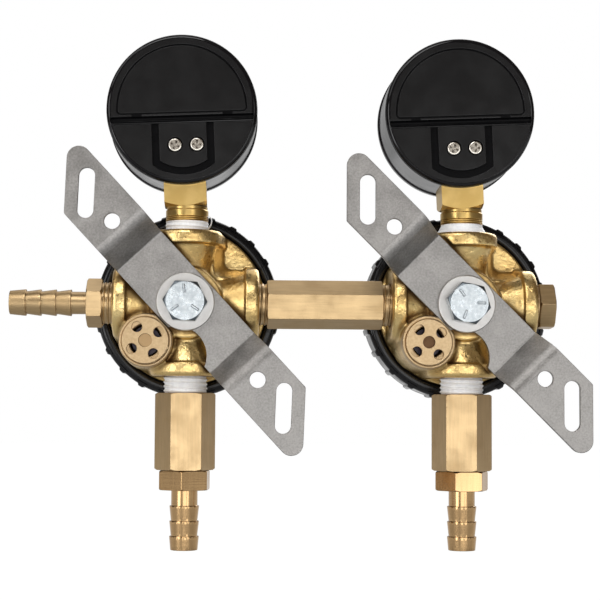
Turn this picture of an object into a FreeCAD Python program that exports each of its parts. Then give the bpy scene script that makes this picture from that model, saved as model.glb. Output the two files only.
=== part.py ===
import FreeCAD, Part
import math
import os

from FreeCAD import Placement, Rotation, Vector

# Twin low-pressure gas regulator on two joggled wall straps, in millimetres.
# The wall plane is y = 0, bonnets and dials face +Y, +Z is up and z = 0 is the height of the port axis.
# x = 0 lies midway between the two regulators. They differ in how far their fittings are turned
# and in the middle of their relief caps.

# Chamfers of hexagons, and how far cutting shapes run past the faces they cut
chamfer_slope = 0.6
chamfer_spare = 0.01
bar_chamfer = 0.5
fitting_chamfer = 0.7
nut_chamfer = 0.8
overrun = 1.0

# Wall straps
stand_off = 8.0
strap_thickness = 2.0
strap_width = 19.6
strap_half_span = 40.2
strap_joggle_outer = 29.5
strap_joggle_inner = 22.5
strap_outer_bend = 3.6
strap_inner_bend = 1.0
strap_tip_radius = 3.9
strap_corner_radius = 1.0
strap_hole_diameter = 5.2
strap_hole_station = 34.8
strap_slot_width = 5.2
strap_slot_length = 16.4
strap_slot_station = 47.2
strap_notch_radius = 9.6
strap_notch_x = -1.9
strap_notch_z = -17.7
strap_clearance = 0.3
strap_turn = {"left": 2.1, "right": 0.0}

# Strap bolts and washers
bolt_diameter = 7.94
bolt_head_flats = 12.7
bolt_head_height = 5.3
bolt_hole_spare = 0.4
bolt_hole_wall = 0.75
bolt_fit = 0.05
bolt_head_turn = {"left": 8.0, "right": 20.0}
bolt_chamfer = 1.1
washer_diameter = 19.05
washer_thickness = 1.6
washer_bore = 8.6

# Casting
port_axis_depth = 9.0
port_reach = 24.2
boss_radius = 12.0
boss_base_radius = 13.0
arm_inner_radius = 7.6
arm_outer_radius = 10.2
arm_inner_station = 12.2
arm_outer_station = 19.0
arm_swell_round = 8.0
arm_top_half_width = 9.0
arm_base_half_width = 12.4
arm_corner_radius = 2.7
collar_radius = 12.0
collar_length = 4.6
collar_base_half_width = 13.2
collar_root = 1.0
collar_round = 1.6
edge_round = 0.8
flange_radius = 27.0
flange_step = 12.0
flange_thickness = 7.0
chamber_radius = 21.0
chamber_depth = 4.0

# Pipe threads, modelled as plain cylinders
thread_diameter = 13.6
thread_fit = 0.05
thread_engaged = 9.6
port_depth = 12.0
passage_diameter = 4.0
outlet_drilling_diameter = 3.2
outlet_drilling_inset = 2.2
tape_thickness = 0.4
gauge_tape_length = 3.3

# Nipple, inlet barb and end plug
nipple_hex_length = 38.5
nipple_thread_show = 2.8
nipple_turn = 9.0
small_hex_flats = 14.29
nipple_bore = 7.0
inlet_thread_show = 3.6
inlet_hex_length = 5.1
inlet_hex_turn = 5.0
inlet_barb_length = 25.6
inlet_ridge_diameter = 8.9
inlet_valley_diameter = 7.5
inlet_bore = 5.0
inlet_first_ridge = 5.2
barb_pitch = 5.0
barb_tip_share = 0.25
barb_count = 4
plug_thread_show = 1.4
plug_head_length = 5.2
plug_head_turn = 27.0

# Outlet check valves and barbs
outlet_thread_show = 5.5
check_hex_flats = 17.46
check_hex_length = 25.5
check_hex_turn = {"left": 3.7, "right": -8.5}
check_passage_diameter = 6.4
check_chamber_diameter = 11.4
check_seat_drop = 3.6
check_poppet_diameter = 9.4
check_poppet_thickness = 2.0
check_spring_radius = 3.2
check_spring_wire = 0.8
check_spring_turns = 5
check_stem_diameter = 3.0
check_stem_length = 4.5
outlet_hex_flats = 15.875
outlet_hex_length = 6.4
outlet_hex_turn = {"left": 25.0, "right": 9.0}
outlet_hex_gap = 0.15
outlet_barb_length = 19.8
outlet_ridge_diameter = 9.85
outlet_valley_diameter = 8.75
outlet_bore = 5.6
outlet_first_ridge = 5.2
outlet_barb_count = 3

# Relief valves
relief_radius = 18.1
relief_angle = 225.0
relief_boss_diameter = 17.5
relief_boss_back = 4.8
relief_boss_round = 0.4
relief_boss_taper = 0.8
relief_bore_overlap = 0.5
relief_cap_diameter = 15.3
relief_cap_thickness = 1.6
relief_cap_proud = 0.8
relief_cap_hole_diameter = 3.4
relief_cap_hole_circle = 10.2
relief_cap_centre_diameter = {"left": 4.4, "right": 4.0}
relief_cap_centre_depth = {"left": 0.5, "right": 1.2}
relief_cap_round = 0.3
relief_cap_turn = {"left": 32.0, "right": 38.0}
relief_chamber_diameter = 10.6
relief_spring_length = 4.0
relief_poppet_diameter = 9.4
relief_poppet_thickness = 2.4
relief_lip_height = 0.6
relief_lip_radius = 3.6
relief_lip_wall = 0.9
relief_passage_diameter = 3.2

# Inlet valve and diaphragm
seat_gap = 0.05
seat_diameter = 12.0
seat_bore = 3.2
seat_head_flats = 14.0
seat_head_thickness = 1.6
seat_step_depth = 13.0
poppet_chamber_diameter = 9.0
poppet_diameter = 6.6
poppet_length = 3.9
poppet_stem_diameter = 2.0
poppet_spring_length = 4.0
small_spring_radius = 2.4
small_spring_wire = 0.7
small_spring_turns = 3
diaphragm_radius = 25.5
diaphragm_thickness = 1.0
plate_radius = 13.5
plate_thickness = 1.5
plate_rim_height = 1.6
plate_rim_width = 1.4
rivet_diameter = 5.0
rivet_head_diameter = 8.0
rivet_head_thickness = 1.0

# Bonnet, range spring and adjusting screw
rim_gap = 1.0
bonnet_radius = 31.2
bonnet_bore_fit = 0.1
bonnet_skirt_length = 17.0
bonnet_bell_length = 16.5
bonnet_neck_length = 10.0
bonnet_neck_radius = 15.2
bonnet_shoulder_radius = 26.0
bonnet_wall = 3.0
bonnet_crown = 5.0
bonnet_clamp_radius = 22.5
bonnet_rim_round = 2.4
bonnet_rim_inner_round = 1.4
bonnet_skirt_round = 1.6
bonnet_skirt_step = 1.2
bonnet_shoulder_round = 3.0
bonnet_bell_round = 5.0
bonnet_neck_taper = 0.8
bonnet_neck_round = 1.2
bonnet_bore_round = 1.0
rib_count = 24
rib_height = 0.6
rib_foot_width = 3.8
rib_crest_width = 1.6
rib_root = 1.0
rib_round = 0.5
wire_sides = 8
spring_wire = 2.4
spring_mean_radius = 9.4
spring_turns = 5
spring_length = 20.5
button_radius = 11.2
button_thickness = 4.0
button_spigot_radius = 7.6
button_spigot_length = 2.0
button_chamfer = 0.6
button_dimple_spare = 0.2
screw_diameter = 9.5
screw_fit = 0.05
screw_length = 29.0
screw_point_length = 2.4
screw_point_radius = 0.2
screw_end_round = 0.6
screw_slot_width = 1.6
screw_slot_depth = 2.6
lock_nut_flats = 14.29
lock_nut_thickness = 5.2
lock_nut_gap = 0.3
lock_nut_turn = {"left": 11.0, "right": 22.0}

# Gauges
gauge_height = 64.0
gauge_depth = 27.0
gauge_back_offset = 11.0
gauge_lean = -2.6
case_radius = 25.0
case_wall = 1.0
bezel_proud = 0.4
bezel_length = 3.0
bezel_lip = 1.4
bezel_lip_width = 1.2
bezel_round = 1.0
cover_inset = 0.1
cover_thickness = 2.4
cover_skirt_length = 2.0
cover_round = 1.4
cover_skirt_wall = 1.2
panel_margin = 3.4
panel_flat = -1.6
panel_corner_radius = 1.5
panel_groove_width = 0.45
panel_groove_depth = 0.5
channel_margin = 1.1
channel_top = -2.3
channel_width = 2.0
channel_depth = 1.4
channel_floor_round = 0.9
notch_inner = 13.4
notch_outer = 16.6
ledge_width = 0.5
lower_recess = 0.5
cover_boss_half_width = 7.85
cover_boss_sink = 0.35
cover_boss_drop = 19.5
cover_boss_foot_radius = 14.5
cover_boss_channel = 2.4
stem_flats = 14.0
stem_start = 32.4
stem_top_inset = 1.4
stem_shoulder_height = 1.4
stem_shoulder_spare = 0.4
socket_block_width = 12.6
socket_block_depth = 8.0
socket_block_top = -7.0
socket_block_shift = 0.5
socket_block_behind = 0.7
socket_bore = 3.0
socket_bore_rise = 8.0
case_screw_diameter = 2.4
case_screw_head_diameter = 4.5
case_screw_head_height = 1.2
case_screw_length = 8.0
case_screw_fit = 0.1
case_screw_tap_fit = 0.02
case_screw_head_spare = 0.3
case_screw_round = 0.5
case_screw_places = [(-2.7, -12.0), (4.5, -12.0)]
cross_turns = [24.0, 4.0]
cross_length = 2.9
cross_width = 0.7
cross_depth = 0.7
tube_mean_radius = 18.0
tube_wall_height = 1.8
tube_width = 5.0
tube_start_angle = -76.0
tube_sweep_angle = 235.0
tube_foot_width = 2.0
tube_foot_ledge = 0.4
tube_foot_overlap = 1.0
frame_thickness = 1.2
frame_half_width = 6.0
frame_past_arbors = 4.0
frame_foot_round = 1.0
frame_top_round = 3.0
arbor_diameter = 1.6
arbor_fit = 0.05
arbor_end_gap = 0.3
gear_module = 0.5
pinion_teeth = 8
sector_teeth = 40
tooth_width = 0.5
tooth_height = 0.4
tooth_depth = 0.55
gear_thickness = 1.2
gear_gap = 0.4
tooth_overlap = 0.3
tooth_foot_share = 1.3
tooth_tip_share = 0.7
sector_hub_radius = 2.0
sector_tail_length = 9.0
sector_tail_width = 1.8
sector_tail_round = 0.8
sector_spare_teeth = 3
pointer_sweep = 270.0
pointer_start = -45.0
pointer_length = 17.5
pointer_tail = 6.0
pointer_width = 2.2
pointer_tip_width = 0.5
pointer_tail_round = 0.6
pointer_thickness = 0.6
pointer_hub_radius = 2.6
pointer_hub_rise = 0.6
pinion_overhang = 0.1
pointer_gap = 0.8
dial_thickness = 0.6
dial_gap = 5.2
dial_edge_gap = 0.1
dial_hole_spare = 0.4
lens_thickness = 1.6

# Places worked out from the sizes above
boss_back = stand_off + strap_thickness
port_y = boss_back + port_axis_depth
flange_back = port_y + flange_step
flange_front = flange_back + flange_thickness
chamber_floor = flange_front - chamber_depth
pitch = 2 * (port_reach + nipple_thread_show) + nipple_hex_length
gauge_back = port_y - gauge_back_offset
gauge_front = gauge_back + gauge_depth
bezel_radius = case_radius + bezel_proud
cover_radius = case_radius - cover_inset
panel_radius = cover_radius - panel_margin
channel_radius = cover_radius - channel_margin
channel_bottom = channel_top - channel_width
washer_back = stand_off - washer_thickness
thread_radius = thread_diameter / 2
port_bore_radius = thread_radius + thread_fit
thread_tip = port_reach - thread_engaged
rim_back = flange_back + rim_gap
bonnet_shoulder = flange_front + diaphragm_thickness
bonnet_bore_radius = flange_radius + bonnet_bore_fit
skirt_front = rim_back + bonnet_skirt_length
bell_front = skirt_front + bonnet_bell_length
bonnet_front = bell_front + bonnet_neck_length
seat_step = flange_front - seat_step_depth
chamber_back = seat_step - poppet_spring_length - poppet_length - seat_gap
bolt_hole_end = chamber_back - bolt_hole_wall
bolt_tip = bolt_hole_end - bolt_hole_spare
plate_back = bonnet_shoulder
spring_back = plate_back + plate_thickness
spring_front = spring_back + spring_length
relief_x = relief_radius * math.cos(math.radians(relief_angle))
relief_z = relief_radius * math.sin(math.radians(relief_angle))
sides = {"left": -1, "right": 1}

directions = {
    "x": (Vector(1, 0, 0), Vector(0, 0, 1)),
    "y": (Vector(0, 1, 0), Vector(1, 0, 0)),
    "z": (Vector(0, 0, 1), Vector(1, 0, 0)),
}
pieces = {}


def rounded_wire(corners, place):
    """A closed outline drawn through place(a, b); a corner's third value is its rounding radius."""
    points = [Vector(c[0], c[1], 0) for c in corners]
    radii = [c[2] if len(c) > 2 else 0 for c in corners]
    edges = []
    ends = []
    for i, corner in enumerate(points):
        before = points[i - 1]
        after = points[(i + 1) % len(points)]
        if not radii[i]:
            ends.append((corner, None, corner))
            continue
        inward = (before - corner).normalize()
        outward = (after - corner).normalize()
        half = inward.getAngle(outward) / 2
        reach = radii[i] / math.tan(half)
        middle = (inward + outward).normalize() * (radii[i] / math.sin(half) - radii[i])
        ends.append((corner + inward * reach, corner + middle, corner + outward * reach))
    for i, (start, middle, end) in enumerate(ends):
        following = ends[(i + 1) % len(ends)][0]
        if middle is not None:
            arc = [place(p.x, p.y) for p in (start, middle, end)]
            edges.append(Part.Arc(*arc).toShape())
        if end.distanceToPoint(following) > 1e-6:
            edges.append(Part.LineSegment(place(end.x, end.y), place(following.x, following.y)).toShape())
    return Part.Wire(edges)


def spin(profile, along, centre=Vector(0, 0, 0), sweep=360):
    """Turns a profile of (station, radius) corners about the axis through centre."""
    axis, radial = directions[along]
    wire = rounded_wire(profile, lambda s, r: centre + axis * s + radial * r)
    return Part.Face(wire).revolve(centre, axis, sweep)


def rod(radius, start, end, along, centre=Vector(0, 0, 0)):
    axis = directions[along][0]
    return Part.makeCylinder(radius, end - start, centre + axis * start, axis)


def plate(corners, back, front):
    """An outline of (x, z) corners, extruded from y = back to y = front."""
    wire = rounded_wire(corners, lambda a, b: Vector(a, back, b))
    return Part.Face(wire).extrude(Vector(0, front - back, 0))


def block(x0, x1, y0, y1, z0, z1):
    return Part.makeBox(x1 - x0, y1 - y0, z1 - z0, Vector(x0, y0, z0))


def hex_bar(flats, start, end, along, centre, turn, chamfer=0.0):
    """A hexagon bar with a flat facing the wall when turn is 0, its end corners turned off by chamfer."""
    axis = directions[along][0]
    radius = flats / math.sqrt(3)
    facing = Vector(0, 1, 0) if along != "y" else Vector(1, 0, 0)
    across = axis.cross(facing)
    corners = []
    for k in range(6):
        angle = math.radians(60 * (k + 0.5) + turn)
        offset = facing * (radius * math.cos(angle)) + across * (radius * math.sin(angle))
        corners.append(centre + axis * start + offset)
    corners.append(corners[0])
    bar = Part.Face(Part.makePolygon(corners)).extrude(axis * (end - start))
    if not chamfer:
        return bar
    edge = radius - chamfer
    slope = chamfer * chamfer_slope
    profile = [
        (start, 0),
        (start, edge),
        (start + slope, radius + chamfer_spare),
        (end - slope, radius + chamfer_spare),
        (end, edge),
        (end, 0),
    ]
    return bar.common(spin(profile, along, centre))


def coil(mean_radius, wire_diameter, start, end, turns, along, centre=Vector(0, 0, 0)):
    """A compression spring that fills the space from start to end; its wire has wire_sides flats."""
    rise = end - start - wire_diameter
    helix = Part.makeHelix(rise / turns, rise, mean_radius)
    corners = []
    for k in range(wire_sides + 1):
        angle = math.radians(360 / wire_sides * (k + 0.5))
        corner = Vector(math.cos(angle), 0, math.sin(angle)) * (wire_diameter / 2)
        corners.append(Vector(mean_radius, 0, 0) + corner)
    section = Part.makePolygon(corners)
    spring = Part.Wire(helix.Edges).makePipeShell([section], True, True)
    axis = directions[along][0]
    turn = Rotation(Vector(0, 0, 1), axis)
    spring.Placement = Placement(centre + axis * (start + wire_diameter / 2), turn)
    return spring


def turned_about_y(shape, angle, x=0.0, z=0.0):
    copy = shape.copy()
    copy.rotate(Vector(x, 0, z), Vector(0, 1, 0), angle)
    return copy


def moved(shape, x):
    copy = shape.copy()
    copy.translate(Vector(x, 0, 0))
    return copy


def keep(name, shape):
    pieces[name] = shape


# The axis of the ports crosses the body axis here, in the frame of one regulator.
port_centre = Vector(0, port_y, 0)


def strap(side):
    """Joggled stainless strap: side profile across its width, trimmed to the outline, then pierced."""
    slope = math.atan2(stand_off, strap_joggle_outer - strap_joggle_inner)
    shift = strap_thickness * math.tan(slope / 2)
    reach = 2 * strap_half_span
    wide = strap_outer_bend
    tight = strap_inner_bend
    lifted = stand_off + strap_thickness
    profile = [
        (-reach, 0),
        (-strap_joggle_outer, 0, wide + strap_thickness),
        (-strap_joggle_inner, stand_off, tight),
        (strap_joggle_inner, stand_off, tight),
        (strap_joggle_outer, 0, wide + strap_thickness),
        (reach, 0),
        (reach, strap_thickness),
        (strap_joggle_outer + shift, strap_thickness, wide),
        (strap_joggle_inner + shift, lifted, tight + strap_thickness),
        (-strap_joggle_inner - shift, lifted, tight + strap_thickness),
        (-strap_joggle_outer - shift, strap_thickness, wide),
        (-reach, strap_thickness),
    ]
    half = strap_width / 2
    wire = rounded_wire(profile, lambda s, y: Vector(s, y, -half))
    sheet = Part.Face(wire).extrude(Vector(0, 0, strap_width))
    sheet = turned_about_y(sheet, 45)
    edge = half * math.sqrt(2)
    span = strap_half_span
    outline = [
        (-span, span + edge, strap_tip_radius),
        (span, edge - span, strap_corner_radius),
        (span, -span - edge, strap_tip_radius),
        (-span, span - edge, strap_corner_radius),
    ]
    sheet = sheet.common(plate(outline, -1, lifted + 1))
    notch_place = Vector(strap_notch_x, 0, strap_notch_z)
    cuts = [rod(bolt_diameter / 2 + strap_clearance, stand_off - 1, lifted + 1, "y")]
    cuts.append(rod(strap_notch_radius, stand_off - 1, lifted + 1, "y", notch_place))
    hole_place = strap_hole_station / math.sqrt(2)
    slot_place = strap_slot_station / math.sqrt(2)
    slot_half = strap_slot_width / 2
    slot_end = (strap_slot_length - strap_slot_width) / 2
    front = strap_thickness + 1
    for way in (-1, 1):
        hole = Vector(way * hole_place, 0, -way * hole_place)
        cuts.append(rod(strap_hole_diameter / 2, -1, front, "y", hole))
        x = way * slot_place
        z = -way * slot_place
        cuts.append(block(x - slot_half, x + slot_half, -1, front, z - slot_end, z + slot_end))
        for end in (-1, 1):
            cuts.append(rod(slot_half, -1, front, "y", Vector(x, 0, z + end * slot_end)))
    return turned_about_y(sheet.cut(cuts), strap_turn[side])


def strap_room(side):
    """The space behind the boss face that the strap sweeps past, cut out of the casting."""
    half = strap_width / 2 + strap_clearance
    room = block(-strap_half_span, strap_half_span, 0, boss_back, -half, half)
    return turned_about_y(room, 45 + strap_turn[side])


def cross_outline(half, y):
    """Footprint of the four casting arms up to their collars, with rounded inner corners."""
    reach = port_reach - collar_length / 2
    r = arm_corner_radius
    corners = [
        (reach, -half),
        (reach, half),
        (half, half, r),
        (half, reach),
        (-half, reach),
        (-half, half, r),
        (-reach, half),
        (-reach, -half),
        (-half, -half, r),
        (-half, -reach),
        (half, -reach),
        (half, -half, r),
    ]
    return rounded_wire(corners, lambda a, b: Vector(a, y, b))


def barrel(along):
    """The round back of two opposite arms, which swells like a bell from the boss to the collars."""
    end = port_reach - collar_length / 2
    profile = [
        (-end, 0),
        (-end, arm_outer_radius),
        (-arm_outer_station, arm_outer_radius, edge_round),
        (-arm_inner_station, arm_inner_radius, arm_swell_round),
        (arm_inner_station, arm_inner_radius, arm_swell_round),
        (arm_outer_station, arm_outer_radius, edge_round),
        (end, arm_outer_radius),
        (end, 0),
    ]
    return spin(profile, along, port_centre)


def collar(along, way):
    """The thick end of an arm: half round at the back, drafted walls to the flange, its rim rounded."""
    axis, across = directions[along]
    start = axis * (way * (port_reach - collar_length))
    root = flange_back + collar_root

    def place(a, y):
        return start + across * a + Vector(0, y, 0)

    low_left = place(-collar_base_half_width, root)
    left = place(-collar_radius, port_y)
    right = place(collar_radius, port_y)
    low_right = place(collar_base_half_width, root)
    outline = [
        Part.LineSegment(low_left, left).toShape(),
        Part.Arc(left, place(0, port_y - collar_radius), right).toShape(),
        Part.LineSegment(right, low_right).toShape(),
        Part.LineSegment(low_right, low_left).toShape(),
    ]
    solid = Part.Face(Part.Wire(outline)).extrude(axis * (way * collar_length))
    rim = []
    for edge in solid.Edges:
        at_port = all(abs(v.Point.dot(axis) * way - port_reach) < 1e-6 for v in edge.Vertexes)
        if at_port and edge.CenterOfMass.y < flange_back:
            rim.append(edge)
    return solid.makeFillet(collar_round, rim)


def casting(side):
    """The cast brass body: a cross of ports on a round flange, with strap boss and relief boss."""
    boss = spin(
        [
            (boss_back, 0),
            (boss_back, boss_radius, edge_round),
            (flange_back, boss_base_radius),
            (flange_back, 0),
        ],
        "y",
    )
    flange = spin(
        [
            (flange_back, 0),
            (flange_back, flange_radius, edge_round),
            (flange_front, flange_radius),
            (flange_front, 0),
        ],
        "y",
    )
    top = cross_outline(arm_top_half_width, port_y)
    base = cross_outline(arm_base_half_width, flange_back)
    web = Part.makeLoft([top, base], True, True)
    relief_place = Vector(relief_x, 0, relief_z)
    relief_boss = spin(
        [
            (relief_boss_back, 0),
            (relief_boss_back, relief_boss_diameter / 2, relief_boss_round),
            (flange_back, relief_boss_diameter / 2 + relief_boss_taper),
            (flange_back, 0),
        ],
        "y",
        relief_place,
    )
    body = flange.fuse([boss, web, barrel("x"), barrel("z"), relief_boss])
    body = body.fuse([collar(along, way) for along in ("x", "z") for way in (-1, 1)])
    body = body.cut(strap_room(side))
    cuts = []
    for along in ("x", "z"):
        for way in (-1, 1):
            face = port_reach + 1
            start, end = sorted((way * (port_reach - port_depth), way * face))
            cuts.append(rod(port_bore_radius, start, end, along, port_centre))
    inner = port_reach - port_depth
    cuts.append(rod(passage_diameter / 2, -inner - 1, inner + 1, "x", port_centre))
    drilling = inner + outlet_drilling_inset
    for way in (-1, 1):
        place = Vector(0, 0, way * drilling)
        cuts.append(rod(outlet_drilling_diameter / 2, port_y, flange_front, "y", place))
    cuts.append(rod(bolt_diameter / 2 + bolt_fit, boss_back - 1, bolt_hole_end, "y"))
    cuts.append(rod(chamber_radius, chamber_floor, flange_front + 1, "y"))
    cuts.append(rod(seat_diameter / 2 + thread_fit, seat_step, flange_front, "y"))
    cuts.append(rod(poppet_chamber_diameter / 2, chamber_back, seat_step + 1, "y"))
    cap_seat = relief_boss_back - relief_cap_proud + relief_cap_thickness
    chamber_end = cap_seat + relief_spring_length + relief_poppet_thickness + seat_gap + relief_lip_height
    cap_bore = relief_cap_diameter / 2 + thread_fit
    cuts.append(rod(cap_bore, relief_boss_back - 1, cap_seat, "y", relief_place))
    bore = rod(relief_chamber_diameter / 2, cap_seat - relief_bore_overlap, chamber_end, "y", relief_place)
    lip_start = chamber_end - relief_lip_height
    cuts.append(bore.cut(rod(relief_lip_radius, lip_start, chamber_end, "y", relief_place)))
    lip_bore = relief_lip_radius - relief_lip_wall
    cuts.append(rod(lip_bore, lip_start, chamber_end, "y", relief_place))
    cuts.append(rod(relief_passage_diameter / 2, chamber_end - 1, flange_front, "y", relief_place))
    return body.cut(cuts)


def hose_tail(hex_start, hex_length, flats, turn, thread_end, tail, along):
    """Threaded end, hexagon and barbed tail on one axis, bored through; it points the negative way."""
    tail_start = hex_start + hex_length
    tip = tail_start + tail["length"]
    ridge = tail["ridge"] / 2
    valley = tail["valley"] / 2
    profile = [(-tail_start, 0), (-tail_start, valley)]
    for k in range(tail["count"]):
        station = tail_start + tail["first"] + k * barb_pitch
        profile.append((-station, valley))
        profile.append((-station, ridge))
    profile.append((-tip, valley + (ridge - valley) * barb_tip_share))
    profile.append((-tip, 0))
    nut = hex_bar(flats, -tail_start, -hex_start, along, port_centre, turn, fitting_chamfer)
    thread = rod(thread_radius, -hex_start, -thread_end, along, port_centre)
    hole = rod(tail["bore"] / 2, -tip - 1, 1 - thread_end, along, port_centre)
    return nut.fuse([thread, spin(profile, along, port_centre)]).cut(hole)


def nipple():
    """Hexagon bar threaded into both castings; built at x = 0 between them."""
    half = nipple_hex_length / 2
    end = half + nipple_thread_show + thread_engaged
    bar = hex_bar(small_hex_flats, -half, half, "x", port_centre, nipple_turn, bar_chamfer)
    thread = rod(thread_radius, -end, end, "x", port_centre)
    hole = rod(nipple_bore / 2, -end - 1, end + 1, "x", port_centre)
    return bar.fuse(thread).cut(hole)


def plug():
    """Solid pipe plug in the free port of the right casting."""
    head_start = port_reach + plug_thread_show
    head_end = head_start + plug_head_length
    head = hex_bar(small_hex_flats, head_start, head_end, "x", port_centre, plug_head_turn, fitting_chamfer)
    return head.fuse(rod(thread_radius, thread_tip, head_start, "x", port_centre))


check_top = -(port_reach + outlet_thread_show)
check_bottom = check_top - check_hex_length
check_seat = check_top - check_seat_drop
outlet_hex_top = check_bottom - outlet_hex_gap
barb_thread_top = check_bottom + thread_engaged


def check_body(side):
    """Long hexagon holding the outlet check valve, threaded into the bottom port."""
    turn = check_hex_turn[side]
    bar = hex_bar(check_hex_flats, check_bottom, check_top, "z", port_centre, turn, nut_chamfer)
    bar = bar.fuse(rod(thread_radius, check_top, -thread_tip, "z", port_centre))
    cuts = [rod(check_passage_diameter / 2, check_seat - 1, 0, "z", port_centre)]
    cuts.append(rod(check_chamber_diameter / 2, check_bottom, check_seat, "z", port_centre))
    cuts.append(rod(port_bore_radius, check_bottom - 1, barb_thread_top, "z", port_centre))
    return bar.cut(cuts)


def check_poppet():
    """Disc with a short guide stem that the spring holds up against the seat."""
    top = check_seat - seat_gap
    disc_bottom = top - check_poppet_thickness
    disc = rod(check_poppet_diameter / 2, disc_bottom, top, "z", port_centre)
    stem_end = disc_bottom - check_stem_length
    return disc.fuse(rod(check_stem_diameter / 2, stem_end, disc_bottom, "z", port_centre))


def check_spring():
    top = check_seat - seat_gap - check_poppet_thickness
    wire = check_spring_wire
    return coil(check_spring_radius, wire, barb_thread_top, top, check_spring_turns, "z", port_centre)


def relief_cap(side):
    """Disc screwed into the relief boss, with four vent holes and a dimple or driving hole in the middle."""
    back = relief_boss_back - relief_cap_proud
    front = back + relief_cap_thickness
    place = Vector(relief_x, 0, relief_z)
    disc = spin(
        [
            (back, 0),
            (back, relief_cap_diameter / 2, relief_cap_round),
            (front, relief_cap_diameter / 2),
            (front, 0),
        ],
        "y",
        place,
    )
    socket_end = back + relief_cap_centre_depth[side]
    cuts = [rod(relief_cap_centre_diameter[side] / 2, back - 1, socket_end, "y", place)]
    for k in range(4):
        angle = math.radians(relief_cap_turn[side] + 90 * k)
        offset = Vector(math.cos(angle), 0, math.sin(angle)) * (relief_cap_hole_circle / 2)
        cuts.append(rod(relief_cap_hole_diameter / 2, back - 1, front + 1, "y", place + offset))
    return disc.cut(cuts)


def relief_poppet():
    back = relief_boss_back - relief_cap_proud + relief_cap_thickness + relief_spring_length
    return spin(
        [
            (back, 0),
            (back, relief_poppet_diameter / 2),
            (back + relief_poppet_thickness, relief_poppet_diameter / 2),
            (back + relief_poppet_thickness, 0),
        ],
        "y",
        Vector(relief_x, 0, relief_z),
    )


def relief_spring():
    back = relief_boss_back - relief_cap_proud + relief_cap_thickness
    front = back + relief_spring_length
    place = Vector(relief_x, 0, relief_z)
    return coil(small_spring_radius, small_spring_wire, back, front, small_spring_turns, "y", place)


def valve_seat():
    """Nozzle screwed into the casting from the diaphragm side; its inner end is the seat."""
    head_front = chamber_floor + seat_head_thickness
    barrel = rod(seat_diameter / 2, seat_step, chamber_floor, "y")
    head = hex_bar(seat_head_flats, chamber_floor, head_front, "y", Vector(0, 0, 0), 0, bar_chamfer)
    return barrel.fuse(head).cut(rod(seat_bore / 2, seat_step - 1, head_front + 1, "y"))


rivet_back = flange_front - rivet_head_thickness
poppet_face = seat_step - seat_gap


def valve_poppet():
    """Poppet on the inlet side of the seat, with a stem that reaches the diaphragm rivet."""
    body = rod(poppet_diameter / 2, poppet_face - poppet_length, poppet_face, "y")
    return body.fuse(rod(poppet_stem_diameter / 2, poppet_face, rivet_back, "y"))


def poppet_spring():
    front = poppet_face - poppet_length
    start = front - poppet_spring_length
    return coil(small_spring_radius, small_spring_wire, start, front, small_spring_turns, "y")


def diaphragm():
    disc = rod(diaphragm_radius, flange_front, bonnet_shoulder, "y")
    return disc.cut(rod(rivet_diameter / 2, flange_front - 1, bonnet_shoulder + 1, "y"))


def diaphragm_plate():
    """Dished plate under the range spring, riveted through the diaphragm."""
    rim = plate_radius - plate_rim_width
    return spin(
        [
            (rivet_back, 0),
            (rivet_back, rivet_head_diameter / 2),
            (flange_front, rivet_head_diameter / 2),
            (flange_front, rivet_diameter / 2),
            (plate_back, rivet_diameter / 2),
            (plate_back, plate_radius),
            (spring_back + plate_rim_height, plate_radius),
            (spring_back + plate_rim_height, rim),
            (spring_back, rim),
            (spring_back, 0),
        ],
        "y",
    )


def range_spring():
    return coil(spring_mean_radius, spring_wire, spring_back, spring_front, spring_turns, "y")


def spring_button():
    """Cap on the range spring with a spigot inside the coil and a dimple for the screw point."""
    front = spring_front + button_thickness
    point = spring_front + button_thickness - screw_point_length
    return spin(
        [
            (spring_front - button_spigot_length, 0),
            (spring_front - button_spigot_length, button_spigot_radius - button_chamfer),
            (spring_front - button_spigot_length + button_chamfer, button_spigot_radius),
            (spring_front, button_spigot_radius),
            (spring_front, button_radius),
            (front - button_chamfer, button_radius),
            (front, button_radius - button_chamfer),
            (front, screw_diameter / 2 + button_dimple_spare),
            (point, screw_point_radius),
            (point, 0),
        ],
        "y",
    )


def bonnet():
    """Moulded bell with a ribbed grip skirt, screwed over the flange, and a neck threaded for the screw."""
    crown = bonnet_front - bonnet_crown
    neck_bore = bonnet_neck_radius - bonnet_wall
    profile = [
        (rim_back, bonnet_bore_radius, bonnet_rim_inner_round),
        (rim_back, bonnet_radius, bonnet_rim_round),
        (skirt_front, bonnet_radius, bonnet_skirt_round),
        (skirt_front + bonnet_skirt_step, bonnet_shoulder_radius, bonnet_shoulder_round),
        (bell_front, bonnet_neck_radius, bonnet_bell_round),
        (bonnet_front, bonnet_neck_radius - bonnet_neck_taper, bonnet_neck_round),
        (bonnet_front, screw_diameter / 2 + screw_fit),
        (crown, screw_diameter / 2 + screw_fit),
        (crown, neck_bore, bonnet_bore_round),
        (bell_front, neck_bore, bonnet_shoulder_round),
        (skirt_front, bonnet_clamp_radius, bonnet_shoulder_round),
        (bonnet_shoulder, bonnet_clamp_radius),
        (bonnet_shoulder, bonnet_bore_radius),
    ]
    shell = spin(profile, "y")
    foot = rib_foot_width / 2
    crest = rib_crest_width / 2
    inner = bonnet_radius - rib_root
    outer = bonnet_radius + rib_height
    corners = [(inner, -foot), (outer, -crest, rib_round), (outer, crest, rib_round), (inner, foot)]
    rib_front = skirt_front - bonnet_skirt_round
    envelope = [(rim_back, 0), (rim_back, outer, bonnet_rim_round), (rib_front, outer), (rib_front, 0)]
    rib = plate(corners, rim_back, rib_front).common(spin(envelope, "y"))
    ribs = [turned_about_y(rib, 360 / rib_count * k) for k in range(rib_count)]
    return shell.fuse(ribs)


screw_back = spring_front + button_thickness - screw_point_length
screw_front = screw_back + screw_length


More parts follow.
